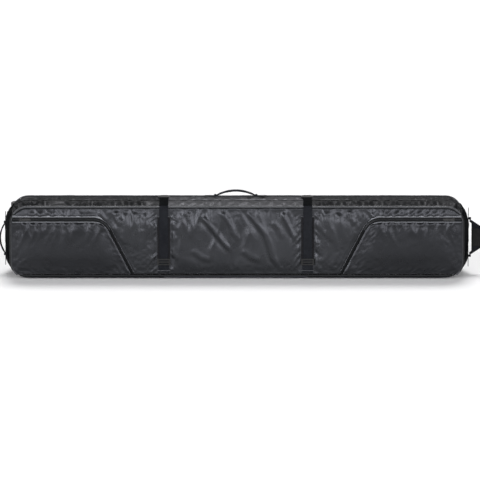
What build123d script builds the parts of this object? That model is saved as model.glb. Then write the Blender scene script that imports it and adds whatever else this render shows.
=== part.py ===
from build123d import *

import os
from math import atan2, cos, radians, sin, tan

# A long wheeled ski and snowboard travel bag, standing on its long side with the lid to the front.
# +X runs along the bag to the haul handle, -Y is the lid's side, +Z is up. Millimetres.
# The origin is on the floor, under the middle of the bag's body.

# ---------------------------------------------------------------- driving dimensions
BODY_LENGTH = 2000.0
BODY_HEIGHT = 320.0
CORNER_RADIUS = 100.0
FACE_END_INSET = 26.0  # the lid's and the base's faces are this much shorter at each end
FACE_EDGE_INSET = 6.0  # and this much lower at the top and bottom
FACE_CORNER_RADIUS = 72.0
FULL_SECTION_HALF_DEPTH = 60.0  # the body is full size between these two depths
WALL_FRONT_Y = -124.0
WALL_BACK_Y = 126.0
WALL = 10.0  # outer fabric, foam and lining together

PADDING_FRONT_Y = -131.0
FACE_FRONT_Y = -138.0
BACK_PANEL_Y = 138.0
BOARD_THICKNESS = 3.0
LINING_THICKNESS = 5.0

HINGE_Y = -131.0
HINGE_Z = 14.0
HINGE_PIPING_RADIUS = 5.0
HINGE_GAP = 6.5  # from the hinge line to the lid's lower edge
ZIP_TOP_Y = -2.0

TAPE_DEPTH = 7.0  # the main zip lies this deep in the wall's thickness
TAPE_THICKNESS = 2.0
TAPE_WIDTH = 10.0
ZIP_GAP = 0.3
ZIP_END_Z = 40.0
COIL_WIDTH = 2.2
COIL_RISE = 1.5

PIPING = 5.0
PIPING_DEPTH = 7.0
PIPING_SET_BACK = 1.0  # the lid's piping starts this far behind the face
WELT_LIP = 0.7  # the bottom front welt stands this far in front of the hinge piping

POCKET_TOP_Z = 254.0
POCKET_CORNER_X = 577.0
POCKET_FOOT_X = 460.0
POCKET_CORNER_RADIUS = 75.0
POCKET_RIM = 10.0
POCKET_SHEET = 2.5
POCKET_SHEET_INSET = 2.0
POCKET_TAPE_INSET = 6.0  # the zip's tape ends this far inside the bag's end
POCKET_COIL_INSET = 8.0
POCKET_ZIP_WIDTH = 15.0
POCKET_ZIP_THICKNESS = 1.5
POCKET_ZIP_GAP = 0.2
POCKET_BOTTOM_Z = 26.0
POCKET_SLIDER_X = 930.0

SLIDER_LENGTH = 16.0
SLIDER_WIDTH = 12.0
SLIDER_PLATE = 2.2
SLIDER_CLEARANCE = 0.4  # over the tape and over the coil
SLIDER_WING_INSET = 3.0
SLIDER_CORNER_RADIUS = 3.0
LUG_Y = (2.6, 4.2)
LUG_LENGTH = 4.0
LUG_RISE = 4.4
TAB_LENGTH = 42.0
TAB_WIDTH = 9.0
TAB_THICKNESS = 2.0
TAB_CORNER_RADIUS = 3.0
TAB_NECK_LENGTH = 8.0
TAB_NECK_WIDTH = 4.6
TAB_PIN_RADIUS = 1.2
TAB_PIN_LENGTH = 6.0
PIN_CLEARANCE = 0.08
MAIN_SLIDER_X = (-26.0, 26.0)

STRAP_X = (-315.0, 305.0)
STRAP_WIDTH = 38.0
STRAP_SET_OFF = 0.4  # between the lid's face and what lies on it
LAYER_GAP = 0.2  # between one layer of a strap and the next
STRAP_THICKNESS = 1.8
BACKING_WIDTH = 56.0
BACKING_THICKNESS = 1.6
BACKING_Z = (77.0, 272.0)
STRAP_LIFT = 3.6  # the strap's underside over the body's top
STRAP_END_Y = 55.0
STRAP_CORNER_RADIUS = 9.8
LOCK_Z = (62.0, 90.0)
LOCK_THICKNESS = 3.5
LOCK_CORNER_RADIUS = 4.0
LOCK_RAIL = 7.0  # each side rail of the lock
LOCK_SLOT_Z = (70.0, 81.0)
LOCK_SLOT_HEIGHT = 5.2
WEBBING_IN_LOCK = 6.0  # how far the strap and its anchor run into the lock
ANCHOR_WIDTH = 46.0

RING_BAR = 4.0
RING_Y = (60.0, 84.0)
RING_WIDTH = 52.0
RING_Z = 323.0
HOOK_PLATE = 3.0
HOOK_LIP = 2.5
HOOK_PLAY = 6.5
HOOK_FRONT_Y = 38.0
HOOK_LIP_BOTTOM_Z = 321.8
HOOK_EDGE_RADIUS = 1.4
HOOK_SIDE_GAP = 1.0
TAB_SEAT = 0.2  # a sewn tab over the body
SEWN_TAB_THICKNESS = 2.2
STRAP_TAB_BACK_Y = 112.0

WHEEL_X = -938.0
WHEEL_Y = 106.0
WHEEL_Z = (38.0, 282.0)
WHEEL_RADIUS = 42.0
WHEEL_WIDTH = 24.0
HUB_RADIUS = 30.0
BEARING_RADIUS = 11.0
BEARING_WIDTH = 7.0
TYRE_EDGE_RADIUS = 5.0
HUB_HOLES = 5
HUB_HOLE_RADIUS = 5.5
HUB_HOLE_CIRCLE = 20.5  # radius on which the hub's holes lie
AXLE_RADIUS = 4.0
AXLE_HEAD_RADIUS = 8.0
AXLE_HEAD_RISE = 4.0
AXLE_OUTER_REACH = 26.0  # from the wheel's middle outward
HUB_CLEARANCE = 1.0  # round the axle, between the bearings
RUNNING_CLEARANCE = 0.05
WELL_RADIUS = 47.0
WELL_WIDTH = 30.0
HOUSING_FRONT_Y = 56.0
HOUSING_INNER_X = -880.0
HOUSING_HEIGHT = 58.0
HOUSING_CHAMFER = 34.0
HOUSING_RECESS = 2.0
RUNNER_X = (-850.0, 880.0)
RUNNER_WIDTH = 22.0
RUNNER_RISE = 6.0
RUNNER_EDGE_RADIUS = 4.0
RUNNER_INSET = 22.0  # from each wheel's middle towards the bag's middle

HANDLE_WIDTH = 25.0
HANDLE_THICKNESS = 4.0  # webbing folded double
HANDLE_NECK_WIDTH = 6.0
HANDLE_NECK_Z = (-3.0, 5.0)  # where the loop widens from its neck to the full width
HANDLE_PIN_RADIUS = 2.5
HANDLE_PIN_LENGTH = 14.0
HANDLE_PIN_INSET = 4.0  # how far each pin runs inside the loop's span
HANDLE_PIVOT_RISE = 4.5
ANCHOR_GAP = 2.5  # between a loop and its sewn anchors
ANCHOR_SEAT = 0.3  # an anchor over the body
ANCHOR_THICKNESS = 2.0
ANCHOR_TAB_WIDTH = 26.0
ANCHOR_TAB_LENGTH = 50.0
ANCHOR_SLEEVE_WIDTH = 10.0
ANCHOR_SLEEVE_LENGTH = 9.0
ANCHOR_SLEEVE_RISE = 4.0  # over the pivot
TOP_HANDLE_X = -5.0
TOP_HANDLE_Y = 104.0
TOP_HANDLE_SPAN = 164.0
TOP_HANDLE_RISE = 20.0
END_HANDLE_Y = 16.0
END_HANDLE_Z = 152.0
END_HANDLE_SPAN = 127.0
END_HANDLE_RISE = 20.0

HAUL_Y = 16.0
HAUL_Z = 156.0
HAUL_SPAN = 150.0
HAUL_REACH = 54.0
HAUL_THICKNESS = 6.0
HAUL_PIVOT_RISE = 9.0
HAUL_FOOT_DROP = 3.0
HAUL_SHOULDER = 5.0  # the handle is full width up to here
HAUL_TAPER = 30.0  # each side draws in this much towards the far edge
HAUL_EDGE_CUT = 4.0
HAUL_ARM = 9.0
HAUL_GAP_CUT = 6.0
GRIP_THICKNESS = 15.0
GRIP_INSET = 36.0  # the grip ends this far short of each arm's outside
GRIP_START = 8.0
GRIP_OVERHANG = 2.0
GRIP_EDGE_RADIUS = 5.0

INNER_STRAP_X = (-450.0, 450.0)
INNER_STRAP_THICKNESS = 1.6
INNER_STRAP_Z = (24.0, 296.0)
BUCKLE_WIDTH = 50.0
BUCKLE_THICKNESS = 7.0
BUCKLE_HEIGHT = 64.0
BUCKLE_CORNER_RADIUS = 6.0

MID_Z = BODY_HEIGHT / 2
BIG = 3000.0


# ---------------------------------------------------------------- shared shapes
def face_plane(y):
    """A plane across the bag at depth y: its x is +X and its y is +Z, about the bag's middle."""
    return Plane(origin=(0, y, MID_Z), x_dir=(1, 0, 0), z_dir=(0, -1, 0))


def full_outline(y, inset=0.0):
    return face_plane(y) * RectangleRounded(
        BODY_LENGTH - 2 * inset, BODY_HEIGHT - 2 * inset, CORNER_RADIUS - inset
    )


def face_outline(y, inset=0.0):
    return face_plane(y) * RectangleRounded(
        BODY_LENGTH - 2 * (FACE_END_INSET + inset),
        BODY_HEIGHT - 2 * (FACE_EDGE_INSET + inset),
        FACE_CORNER_RADIUS - inset,
    )


def body_block(inset):
    """The bag's body between the lid and the base, its outside moved in by inset."""
    half = FULL_SECTION_HALF_DEPTH
    middle = extrude(full_outline(half, inset), 2 * half)
    front = loft([full_outline(-half, inset), face_outline(WALL_FRONT_Y, inset)])
    back = loft([face_outline(WALL_BACK_Y, inset), full_outline(half, inset)])
    return middle + front + back


def shell(outer_inset, inner_inset):
    return body_block(outer_inset) - body_block(inner_inset)


def slab(front_y, back_y, inset=0.0):
    """A flat layer with the face's outline, from front_y to back_y."""
    return extrude(face_outline(back_y, inset), back_y - front_y)


def block(x, y, z):
    """A box from its low and high x, y and z."""
    centre = [(low + high) / 2 for low, high in (x, y, z)]
    return Pos(*centre) * Box(x[1] - x[0], y[1] - y[0], z[1] - z[0])


def opening_plane(to_lid):
    """The plane in which the bag opens, through the hinge line and the zip on top."""
    rise = Vector(0, ZIP_TOP_Y - HINGE_Y, BODY_HEIGHT - HINGE_Z).normalized()
    normal = Vector(0, -rise.Z, rise.Y)
    if not to_lid:
        normal = normal * -1
    return Plane(origin=(0, HINGE_Y, HINGE_Z), x_dir=(1, 0, 0), z_dir=normal)


def side_of_opening(to_lid, start, end=BIG / 2):
    """Everything from start to end millimetres off the opening plane, on one side of it."""
    middle = (start + end) / 2
    return opening_plane(to_lid) * Pos(0, 0, middle) * Box(BIG, BIG, end - start)


def zip_top_y(z):
    """The depth at which the opening plane stands at height z."""
    slope = (ZIP_TOP_Y - HINGE_Y) / (BODY_HEIGHT - HINGE_Z)
    return HINGE_Y + (z - HINGE_Z) * slope


ABOVE_ZIP_END = block((-BIG, BIG), (-BIG, BIG), (ZIP_END_Z, BIG))
STRAIGHT_X = BODY_LENGTH / 2 - CORNER_RADIUS
MIDDLE = block((-STRAIGHT_X, STRAIGHT_X), (-BIG, BIG), (-BIG, BIG))
LEFT = block((-BIG, -STRAIGHT_X), (-BIG, BIG), (-BIG, BIG))
RIGHT = block((STRAIGHT_X, BIG), (-BIG, BIG), (-BIG, BIG))
UPPER = block((-BIG, BIG), (-BIG, BIG), (MID_Z, BIG))
LOWER = block((-BIG, BIG), (-BIG, BIG), (-BIG, MID_Z))


# ---------------------------------------------------------------- base half
def housing_space():
    """The two left back corners, which the moulded wheel housings fill."""
    space = None
    for z in ((-BIG, HOUSING_HEIGHT), (BODY_HEIGHT - HOUSING_HEIGHT, BIG)):
        corner = block((-BIG, HOUSING_INNER_X), (HOUSING_FRONT_Y, BIG), z)
        space = corner if space is None else space + corner
    return space


def base_walls(walls):
    base = walls & side_of_opening(False, TAPE_WIDTH)
    base = base - housing_space()
    return {
        "base_top_wall": base & MIDDLE & UPPER,
        "base_bottom_wall": base & MIDDLE & LOWER,
        "base_left_end": base & LEFT,
        "base_right_end": base & RIGHT,
    }


def base_front_edge():
    """The welt along the bottom front edge that holds the hinge piping."""
    welt_front_y = HINGE_Y - HINGE_PIPING_RADIUS - WELT_LIP
    welt = slab(welt_front_y, WALL_FRONT_Y)
    welt = welt & block((-BIG, BIG), (-BIG, BIG), (-BIG, HINGE_Z))
    return welt - hinge_rod(HINGE_PIPING_RADIUS)


def hinge_rod(radius):
    axis = Plane(origin=(0, HINGE_Y, HINGE_Z), x_dir=(0, 1, 0), z_dir=(1, 0, 0))
    length = BODY_LENGTH - 2 * (FACE_END_INSET + FACE_CORNER_RADIUS / 2)
    return extrude(axis * Circle(radius), length / 2, both=True)


def back_panel():
    return slab(WALL_BACK_Y, BACK_PANEL_Y) - housing_space()


def base_board():
    front_y = WALL_BACK_Y - BOARD_THICKNESS
    return slab(front_y, WALL_BACK_Y, WALL + 1) - housing_space()


def base_lining():
    back_y = WALL_BACK_Y - BOARD_THICKNESS
    return slab(back_y - LINING_THICKNESS, back_y, WALL + 1) - housing_space()


def piping_ring(front_y):
    back_y = front_y + PIPING_DEPTH
    return slab(front_y, back_y, -PIPING) - slab(front_y, back_y)


def base_runners():
    """Two moulded rails on the back that the bag slides on when it lies down."""
    runners = None
    half = RUNNER_WIDTH / 2
    for z in (WHEEL_Z[0] + RUNNER_INSET, WHEEL_Z[1] - RUNNER_INSET):
        rail = block(RUNNER_X, (BACK_PANEL_Y, BACK_PANEL_Y + RUNNER_RISE), (z - half, z + half))
        rail = fillet(rail.edges().filter_by(Axis.X).group_by(Axis.Y)[-1], RUNNER_EDGE_RADIUS)
        runners = rail if runners is None else runners + rail
    return runners


# ---------------------------------------------------------------- wheels
def wheel_axis_plane(z):
    return Plane(origin=(WHEEL_X, WHEEL_Y, z), x_dir=(1, 0, 0), z_dir=(0, 0, 1))


def disc(z, radius, width):
    return extrude(wheel_axis_plane(z) * Circle(radius), width / 2, both=True)


def housing_z(z):
    """The outer and inner height of the housing round the wheel at height z."""
    outward = -1 if z < MID_Z else 1
    edge = MID_Z + outward * MID_Z
    return edge, edge - outward * HOUSING_HEIGHT


def wheel_housing(z):
    """A moulded corner with a well for the wheel, open to the left end and the back."""
    corner = block((-BIG, HOUSING_INNER_X), (HOUSING_FRONT_Y, BIG), sorted(housing_z(z)))
    solid = body_block(HOUSING_RECESS) + slab(WALL_BACK_Y, BACK_PANEL_Y, HOUSING_RECESS)
    solid = solid & corner
    cut = Plane.XY.offset(z) * Pos(-BODY_LENGTH / 2 + FACE_END_INSET, BACK_PANEL_Y)
    cut = cut * Rot(0, 0, -45) * Box(HOUSING_CHAMFER * 2 ** 0.5, BIG, BIG)
    bore = disc(z, AXLE_RADIUS, BIG)
    return solid - cut - disc(z, WELL_RADIUS, WELL_WIDTH) - bore


def tyre(z):
    ring = disc(z, WHEEL_RADIUS, WHEEL_WIDTH) - disc(z, HUB_RADIUS, WHEEL_WIDTH)
    rim_edges = ring.edges().filter_by(GeomType.CIRCLE).sort_by(SortBy.RADIUS)[-2:]
    return fillet(rim_edges, TYRE_EDGE_RADIUS)


def hub(z):
    body = disc(z, HUB_RADIUS, WHEEL_WIDTH) - disc(z, BEARING_RADIUS, WHEEL_WIDTH)
    for turn in range(HUB_HOLES):
        angle = radians((turn + 0.5) * 360 / HUB_HOLES)
        place = Pos(HUB_HOLE_CIRCLE * cos(angle), HUB_HOLE_CIRCLE * sin(angle), 0)
        body = body - place * disc(z, HUB_HOLE_RADIUS, WHEEL_WIDTH)
    core = disc(z, BEARING_RADIUS, WHEEL_WIDTH - 2 * BEARING_WIDTH)
    return body + (core - disc(z, AXLE_RADIUS + HUB_CLEARANCE, WHEEL_WIDTH))


def bearings(z):
    pair = None
    for end in (-1, 1):
        place = z + end * (WHEEL_WIDTH - BEARING_WIDTH) / 2
        ring = disc(place, BEARING_RADIUS, BEARING_WIDTH)
        ring = ring - disc(place, AXLE_RADIUS + RUNNING_CLEARANCE, BEARING_WIDTH)
        pair = ring if pair is None else pair + ring
    return pair


def axle(z):
    """A bolt through both cheeks, with a low head inside the bag."""
    outward = -1 if z < MID_Z else 1
    outer_end = z + outward * AXLE_OUTER_REACH
    inner_plane = wheel_axis_plane(housing_z(z)[1])
    shaft = extrude(inner_plane * Circle(AXLE_RADIUS), outer_end - housing_z(z)[1])
    head = extrude(inner_plane * Circle(AXLE_HEAD_RADIUS), -outward * AXLE_HEAD_RISE)
    return shaft + head


# ---------------------------------------------------------------- handles
def loop_handle(span, rise):
    """A webbing loop on two pins along local X, rising along local Z from the pin line."""
    arc = ThreePointArc((-span / 2, 0), (0, rise), (span / 2, 0))
    band = Plane.XZ * trace(arc, HANDLE_THICKNESS)
    band = extrude(band, HANDLE_WIDTH / 2, both=True)
    narrow, wide = HANDLE_NECK_WIDTH / 2, HANDLE_WIDTH / 2
    low, high = HANDLE_NECK_Z
    neck = Polygon(
        (-narrow, low), (narrow, low), (wide, high), (wide, BIG), (-wide, BIG), (-wide, high), align=None
    )
    band = band & extrude(Plane.YZ * neck, BIG, both=True)
    return band + pin_pair(span)


def pin_pair(span):
    pins = None
    for end in (-1, 1):
        middle = end * (span / 2 + HANDLE_PIN_LENGTH / 2 - HANDLE_PIN_INSET)
        pin = Pos(middle, 0, 0) * Rot(0, 90, 0) * Cylinder(HANDLE_PIN_RADIUS, HANDLE_PIN_LENGTH)
        pins = pin if pins is None else pins + pin
    return pins


def handle_anchors(span, pivot_rise):
    """Two sewn tabs, each with a sleeve that holds one of the handle's pins."""
    start = span / 2 + ANCHOR_GAP
    seat = ANCHOR_SEAT - pivot_rise
    sleeve_half, tab_half = ANCHOR_SLEEVE_WIDTH / 2, ANCHOR_TAB_WIDTH / 2
    sleeve = block((start, start + ANCHOR_SLEEVE_LENGTH), (-sleeve_half, sleeve_half), (seat, ANCHOR_SLEEVE_RISE))
    tab = block((start, start + ANCHOR_TAB_LENGTH), (-tab_half, tab_half), (seat, seat + ANCHOR_THICKNESS))
    bore = Pos(start, 0, 0) * Rot(0, 90, 0) * Cylinder(HANDLE_PIN_RADIUS + PIN_CLEARANCE, ANCHOR_TAB_LENGTH)
    anchor = sleeve + tab - bore
    return anchor + Rot(0, 0, 180) * anchor


TOP_HANDLE_PLANE = Plane(
    origin=(TOP_HANDLE_X, TOP_HANDLE_Y, BODY_HEIGHT + HANDLE_PIVOT_RISE),
    x_dir=(1, 0, 0), z_dir=(0, 0, 1),
)
END_HANDLE_PLANE = Plane(
    origin=(-BODY_LENGTH / 2 - HANDLE_PIVOT_RISE, END_HANDLE_Y, END_HANDLE_Z),
    x_dir=(0, 0, 1), z_dir=(-1, 0, 0),
)
HAUL_HANDLE_PLANE = Plane(
    origin=(BODY_LENGTH / 2 + HAUL_PIVOT_RISE, HAUL_Y, HAUL_Z),
    x_dir=(0, 0, -1), z_dir=(1, 0, 0),
)


def haul_frame():
    """The haul handle's flat webbing frame: two arms that meet in a broad bar."""
    side, foot = HAUL_SPAN / 2, -HAUL_FOOT_DROP
    far_side = side - HAUL_TAPER
    half_outline = [
        (side, foot), (side, HAUL_SHOULDER), (far_side, HAUL_REACH - HAUL_EDGE_CUT),
        (far_side - HAUL_EDGE_CUT, HAUL_REACH),
    ]
    gap_side = side - HAUL_ARM
    half_gap = [(gap_side, 2 * foot), (gap_side, 0), (gap_side - HAUL_GAP_CUT, HAUL_GAP_CUT)]
    plate = Plane.XZ * (symmetric_polygon(half_outline) - symmetric_polygon(half_gap))
    plate = extrude(plate, HAUL_THICKNESS / 2, both=True)
    return plate - haul_grip_block() + pin_pair(HAUL_SPAN)


def symmetric_polygon(right_half):
    """A polygon from the points of its right half, from the bottom up."""
    left_half = [(-x, y) for x, y in reversed(right_half)]
    return Polygon(*right_half, *left_half, align=None)


def haul_grip_block():
    half = HAUL_SPAN / 2 - GRIP_INSET
    depth = GRIP_THICKNESS / 2
    grip = block((-half, half), (-depth, depth), (GRIP_START, HAUL_REACH + GRIP_OVERHANG))
    return fillet(grip.edges().filter_by(Axis.X), GRIP_EDGE_RADIUS)


# ---------------------------------------------------------------- lid half
def lid_walls(walls):
    lid = walls & side_of_opening(True, TAPE_WIDTH)
    return {
        "lid_top_wall": lid & MIDDLE,
        "lid_left_end": lid & LEFT,
        "lid_right_end": lid & RIGHT,
    }


ABOVE_HINGE = block((-BIG, BIG), (-BIG, BIG), (HINGE_Z + HINGE_GAP, BIG))


def lid_padding():
    return slab(PADDING_FRONT_Y, WALL_FRONT_Y) & ABOVE_HINGE


def pocket_outline(side, grow=0.0):
    """A pocket's outline: level along the top, then down to the bottom edge at a slant."""
    slant = atan2(POCKET_CORNER_X - POCKET_FOOT_X, POCKET_TOP_Z - POCKET_BOTTOM_Z)
    inward = grow / cos(slant) - grow * tan(slant)
    corners = [
        (BODY_LENGTH / 2, POCKET_BOTTOM_Z - MID_Z),
        (POCKET_FOOT_X - grow / cos(slant), POCKET_BOTTOM_Z - MID_Z),
        (POCKET_CORNER_X - inward, POCKET_TOP_Z + grow - MID_Z),
        (BODY_LENGTH / 2, POCKET_TOP_Z + grow - MID_Z),
    ]
    counterclockwise = [(side * x, z) for x, z in corners][::-side]
    outline = Polygon(*counterclockwise, align=None)
    knee = outline.vertices().sort_by_distance((side * POCKET_CORNER_X, POCKET_TOP_Z - MID_Z))[0]
    return fillet(knee, POCKET_CORNER_RADIUS + grow)


def pocket_layer(side, front_y, back_y, grow, rim):
    outline = face_plane(back_y) * pocket_outline(side, grow)
    return extrude(outline, back_y - front_y) & slab(front_y, back_y, rim)


def pocket_space(side):
    space = pocket_layer(side, FACE_FRONT_Y, PADDING_FRONT_Y, 0, POCKET_RIM)
    above = POCKET_BOTTOM_Z + POCKET_RIM
    return space & block((-BIG, BIG), (-BIG, BIG), (above, BIG))


def lid_face():
    face = slab(FACE_FRONT_Y, PADDING_FRONT_Y) & ABOVE_HINGE
    return face - pocket_space(-1) - pocket_space(1)


def pocket_sheet(side):
    return pocket_layer(side, FACE_FRONT_Y - POCKET_SHEET, FACE_FRONT_Y, 0, POCKET_SHEET_INSET)


def pocket_zip(side):
    """The zip's tape around the pocket's top and slant, with its coil down the middle."""
    front_y = FACE_FRONT_Y - POCKET_ZIP_THICKNESS
    tape = pocket_layer(side, front_y, FACE_FRONT_Y, POCKET_ZIP_WIDTH, POCKET_TAPE_INSET)
    tape = tape - pocket_layer(side, front_y, FACE_FRONT_Y, POCKET_ZIP_GAP, 0)
    middle = POCKET_ZIP_WIDTH / 2
    coil = pocket_layer(side, front_y - COIL_RISE, front_y, middle + COIL_WIDTH, POCKET_COIL_INSET)
    coil = coil - pocket_layer(side, front_y - COIL_RISE, front_y, middle - COIL_WIDTH, 0)
    return tape + coil


def lid_piping():
    return piping_ring(FACE_FRONT_Y + PIPING_SET_BACK) & ABOVE_HINGE


def main_zip(to_lid):
    """One half of the main zip: a tape set into the wall, with its row of coil at the edge."""
    outer = TAPE_DEPTH
    tape = shell(outer, outer + TAPE_THICKNESS)
    tape = tape & side_of_opening(to_lid, ZIP_GAP, TAPE_WIDTH)
    coil = shell(outer - COIL_RISE, outer)
    coil = coil & side_of_opening(to_lid, ZIP_GAP, ZIP_GAP + COIL_WIDTH)
    return (tape + coil - housing_space()) & ABOVE_ZIP_END


# ---------------------------------------------------------------- zip sliders
def slider():
    """A slider about its local origin on the tape's surface, along local X, facing local +Z."""
    half_length, half_width = SLIDER_LENGTH / 2, SLIDER_WIDTH / 2
    roof_z = COIL_RISE + SLIDER_CLEARANCE
    top = roof_z + SLIDER_PLATE
    roof = block((-half_length, half_length), (-half_width, half_width), (roof_z, top))
    roof = fillet(roof.edges().filter_by(Axis.Z), SLIDER_CORNER_RADIUS)
    wing_x = half_length - SLIDER_WING_INSET
    wing_y = COIL_WIDTH + 4 * SLIDER_CLEARANCE
    for side in (-1, 1):
        wing = sorted((side * wing_y, side * half_width))
        roof = roof + block((-wing_x, wing_x), wing, (SLIDER_CLEARANCE, roof_z))
        lug = sorted((side * LUG_Y[0], side * LUG_Y[1]))
        roof = roof + block((-LUG_LENGTH / 2, LUG_LENGTH / 2), lug, (top, top + LUG_RISE))
    pin = Pos(0, 0, tab_pivot_rise()) * Rot(90, 0, 0) * Cylinder(TAB_PIN_RADIUS, TAB_PIN_LENGTH)
    return roof + pin


def tab_pivot_rise():
    return COIL_RISE + SLIDER_CLEARANCE + SLIDER_PLATE + LUG_RISE / 2


def pull_tab():
    """A pull tab about the same origin, lying flat along local +X from the slider's pin."""
    pivot = tab_pivot_rise()
    z = (pivot - TAB_THICKNESS / 2, pivot + TAB_THICKNESS / 2)
    across = Pos(0, 0, pivot) * Rot(90, 0, 0)
    eye = across * Cylinder(LUG_RISE / 2 - PIN_CLEARANCE, TAB_NECK_WIDTH)
    neck = block((0, TAB_NECK_LENGTH), (-TAB_NECK_WIDTH / 2, TAB_NECK_WIDTH / 2), z)
    tab = block((TAB_NECK_LENGTH - TAB_PIN_RADIUS, TAB_LENGTH), (-TAB_WIDTH / 2, TAB_WIDTH / 2), z)
    tab = fillet(tab.edges().filter_by(Axis.Z), TAB_CORNER_RADIUS)
    return (eye + neck + tab) - across * Cylinder(TAB_PIN_RADIUS + PIN_CLEARANCE, 2 * TAB_PIN_LENGTH)


def main_slider_plane(side):
    """The tab lies outward, away from the bag's middle, so the two sliders meet back to back."""
    x = MAIN_SLIDER_X[0] if side < 0 else MAIN_SLIDER_X[1]
    tape_z = BODY_HEIGHT - TAPE_DEPTH
    return Plane(origin=(x, zip_top_y(tape_z), tape_z), x_dir=(side, 0, 0), z_dir=(0, 0, 1))


def pocket_slider_plane(side):
    """The tab lies inward, along the pocket's zip."""
    z = POCKET_TOP_Z + POCKET_ZIP_WIDTH / 2
    y = FACE_FRONT_Y - POCKET_ZIP_THICKNESS
    return Plane(origin=(side * POCKET_SLIDER_X, y, z), x_dir=(-side, 0, 0), z_dir=(0, -1, 0))


# ---------------------------------------------------------------- straps
BACKING_FRONT_Y = FACE_FRONT_Y - STRAP_SET_OFF - BACKING_THICKNESS


def strap_webbing(x):
    """The strap from its lock, up the lid's face, over the edge and back to the hook."""
    back_y = BACKING_FRONT_Y - LAYER_GAP
    low_z = BODY_HEIGHT + STRAP_LIFT
    outer = strap_profile(back_y - STRAP_THICKNESS, low_z + STRAP_THICKNESS, STRAP_CORNER_RADIUS)
    inner = strap_profile(back_y, low_z, STRAP_CORNER_RADIUS - STRAP_THICKNESS)
    band = extrude(Plane.YZ.offset(x) * (outer - inner), STRAP_WIDTH / 2, both=True)
    return band & block((-BIG, BIG), (-BIG, STRAP_END_Y), (LOCK_Z[0] + WEBBING_IN_LOCK, BIG))


def strap_profile(front_y, top_z, radius):
    """A square with its rounded front top corner at front_y and top_z, seen from the end."""
    return Pos(front_y + BIG / 2, top_z - BIG / 2) * RectangleRounded(BIG, BIG, radius)


def strap_backing(x):
    half = BACKING_WIDTH / 2
    return block((x - half, x + half), (BACKING_FRONT_Y, FACE_FRONT_Y - STRAP_SET_OFF), BACKING_Z)


def strap_anchor(x):
    """The short webbing that ties the lock to the bottom edge."""
    back_y = FACE_FRONT_Y - STRAP_SET_OFF
    half = ANCHOR_WIDTH / 2
    z = (HINGE_Z + HINGE_GAP + 1, LOCK_Z[0] + WEBBING_IN_LOCK - LAYER_GAP)
    return block((x - half, x + half), (back_y - STRAP_THICKNESS, back_y), z)


def strap_lock(x):
    """A ladder lock: a frame with three bars across the webbing."""
    back_y = BACKING_FRONT_Y - STRAP_THICKNESS - 2 * LAYER_GAP
    half = BACKING_WIDTH / 2
    plate = block((x - half, x + half), (back_y - LOCK_THICKNESS, back_y), LOCK_Z)
    plate = fillet(plate.edges().filter_by(Axis.Y), LOCK_CORNER_RADIUS)
    slot_half = half - LOCK_RAIL
    for z in LOCK_SLOT_Z:
        slot_z = (z - LOCK_SLOT_HEIGHT / 2, z + LOCK_SLOT_HEIGHT / 2)
        plate = plate - block((x - slot_half, x + slot_half), (-BIG, BIG), slot_z)
    return plate


def strap_hook(x):
    """A flat hook on the strap's end whose lip drops behind the ring's front bar."""
    plate_z = BODY_HEIGHT + STRAP_LIFT + STRAP_THICKNESS
    lip_y = RING_Y[0] + RING_BAR / 2 + HOOK_PLAY
    half = RING_WIDTH / 2 - RING_BAR - HOOK_SIDE_GAP
    x_range = (x - half, x + half)
    plate = block(x_range, (HOOK_FRONT_Y, lip_y + HOOK_LIP), (plate_z, plate_z + HOOK_PLATE))
    plate = fillet(plate.edges().filter_by(Axis.X).group_by(Axis.Z)[-1], HOOK_EDGE_RADIUS)
    return plate + block(x_range, (lip_y, lip_y + HOOK_LIP), (HOOK_LIP_BOTTOM_Z, plate_z))


def strap_ring(x):
    """A flat rectangular ring, held to the base by its back bar."""
    half = RING_WIDTH / 2
    bar = RING_BAR / 2
    ring = None
    for y in RING_Y:
        rod = Pos(x, y, RING_Z) * Rot(0, 90, 0) * Cylinder(bar, RING_WIDTH)
        ring = rod if ring is None else ring + rod
    for side in (-1, 1):
        ring = ring + block(
            sorted((x + side * half, x + side * (half - RING_BAR))),
            (RING_Y[0] - bar, RING_Y[1] + bar), (RING_Z - bar, RING_Z + bar),
        )
    return ring


def strap_tab(x):
    """A webbing tab, sewn to the base, folded round the ring's back bar."""
    half = STRAP_WIDTH / 2
    bar = RING_BAR / 2
    seat = BODY_HEIGHT + TAB_SEAT
    along_bar = Pos(x, RING_Y[1], RING_Z) * Rot(0, 90, 0)
    fold = along_bar * Cylinder(bar + STRAP_THICKNESS, STRAP_WIDTH)
    leg = block((x - half, x + half), (RING_Y[1], STRAP_TAB_BACK_Y), (seat, seat + SEWN_TAB_THICKNESS))
    above = block((-BIG, BIG), (-BIG, BIG), (seat, BIG))
    return ((fold + leg) & above) - along_bar * Cylinder(bar, BIG)


# ---------------------------------------------------------------- inside
LINING_FRONT_Y = WALL_BACK_Y - BOARD_THICKNESS - LINING_THICKNESS


def inner_strap(x):
    half = STRAP_WIDTH / 2
    y = (LINING_FRONT_Y - INNER_STRAP_THICKNESS, LINING_FRONT_Y)
    return block((x - half, x + half), y, INNER_STRAP_Z)


def inner_buckle(x):
    back_y = LINING_FRONT_Y - INNER_STRAP_THICKNESS
    half, half_height = BUCKLE_WIDTH / 2, BUCKLE_HEIGHT / 2
    body = block(
        (x - half, x + half), (back_y - BUCKLE_THICKNESS, back_y), (MID_Z - half_height, MID_Z + half_height)
    )
    return fillet(body.edges().filter_by(Axis.Y), BUCKLE_CORNER_RADIUS)


# ---------------------------------------------------------------- assembly
def both(make, places):
    """Two equal pieces in one node."""
    first, second = places
    return make(first) + make(second)


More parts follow.
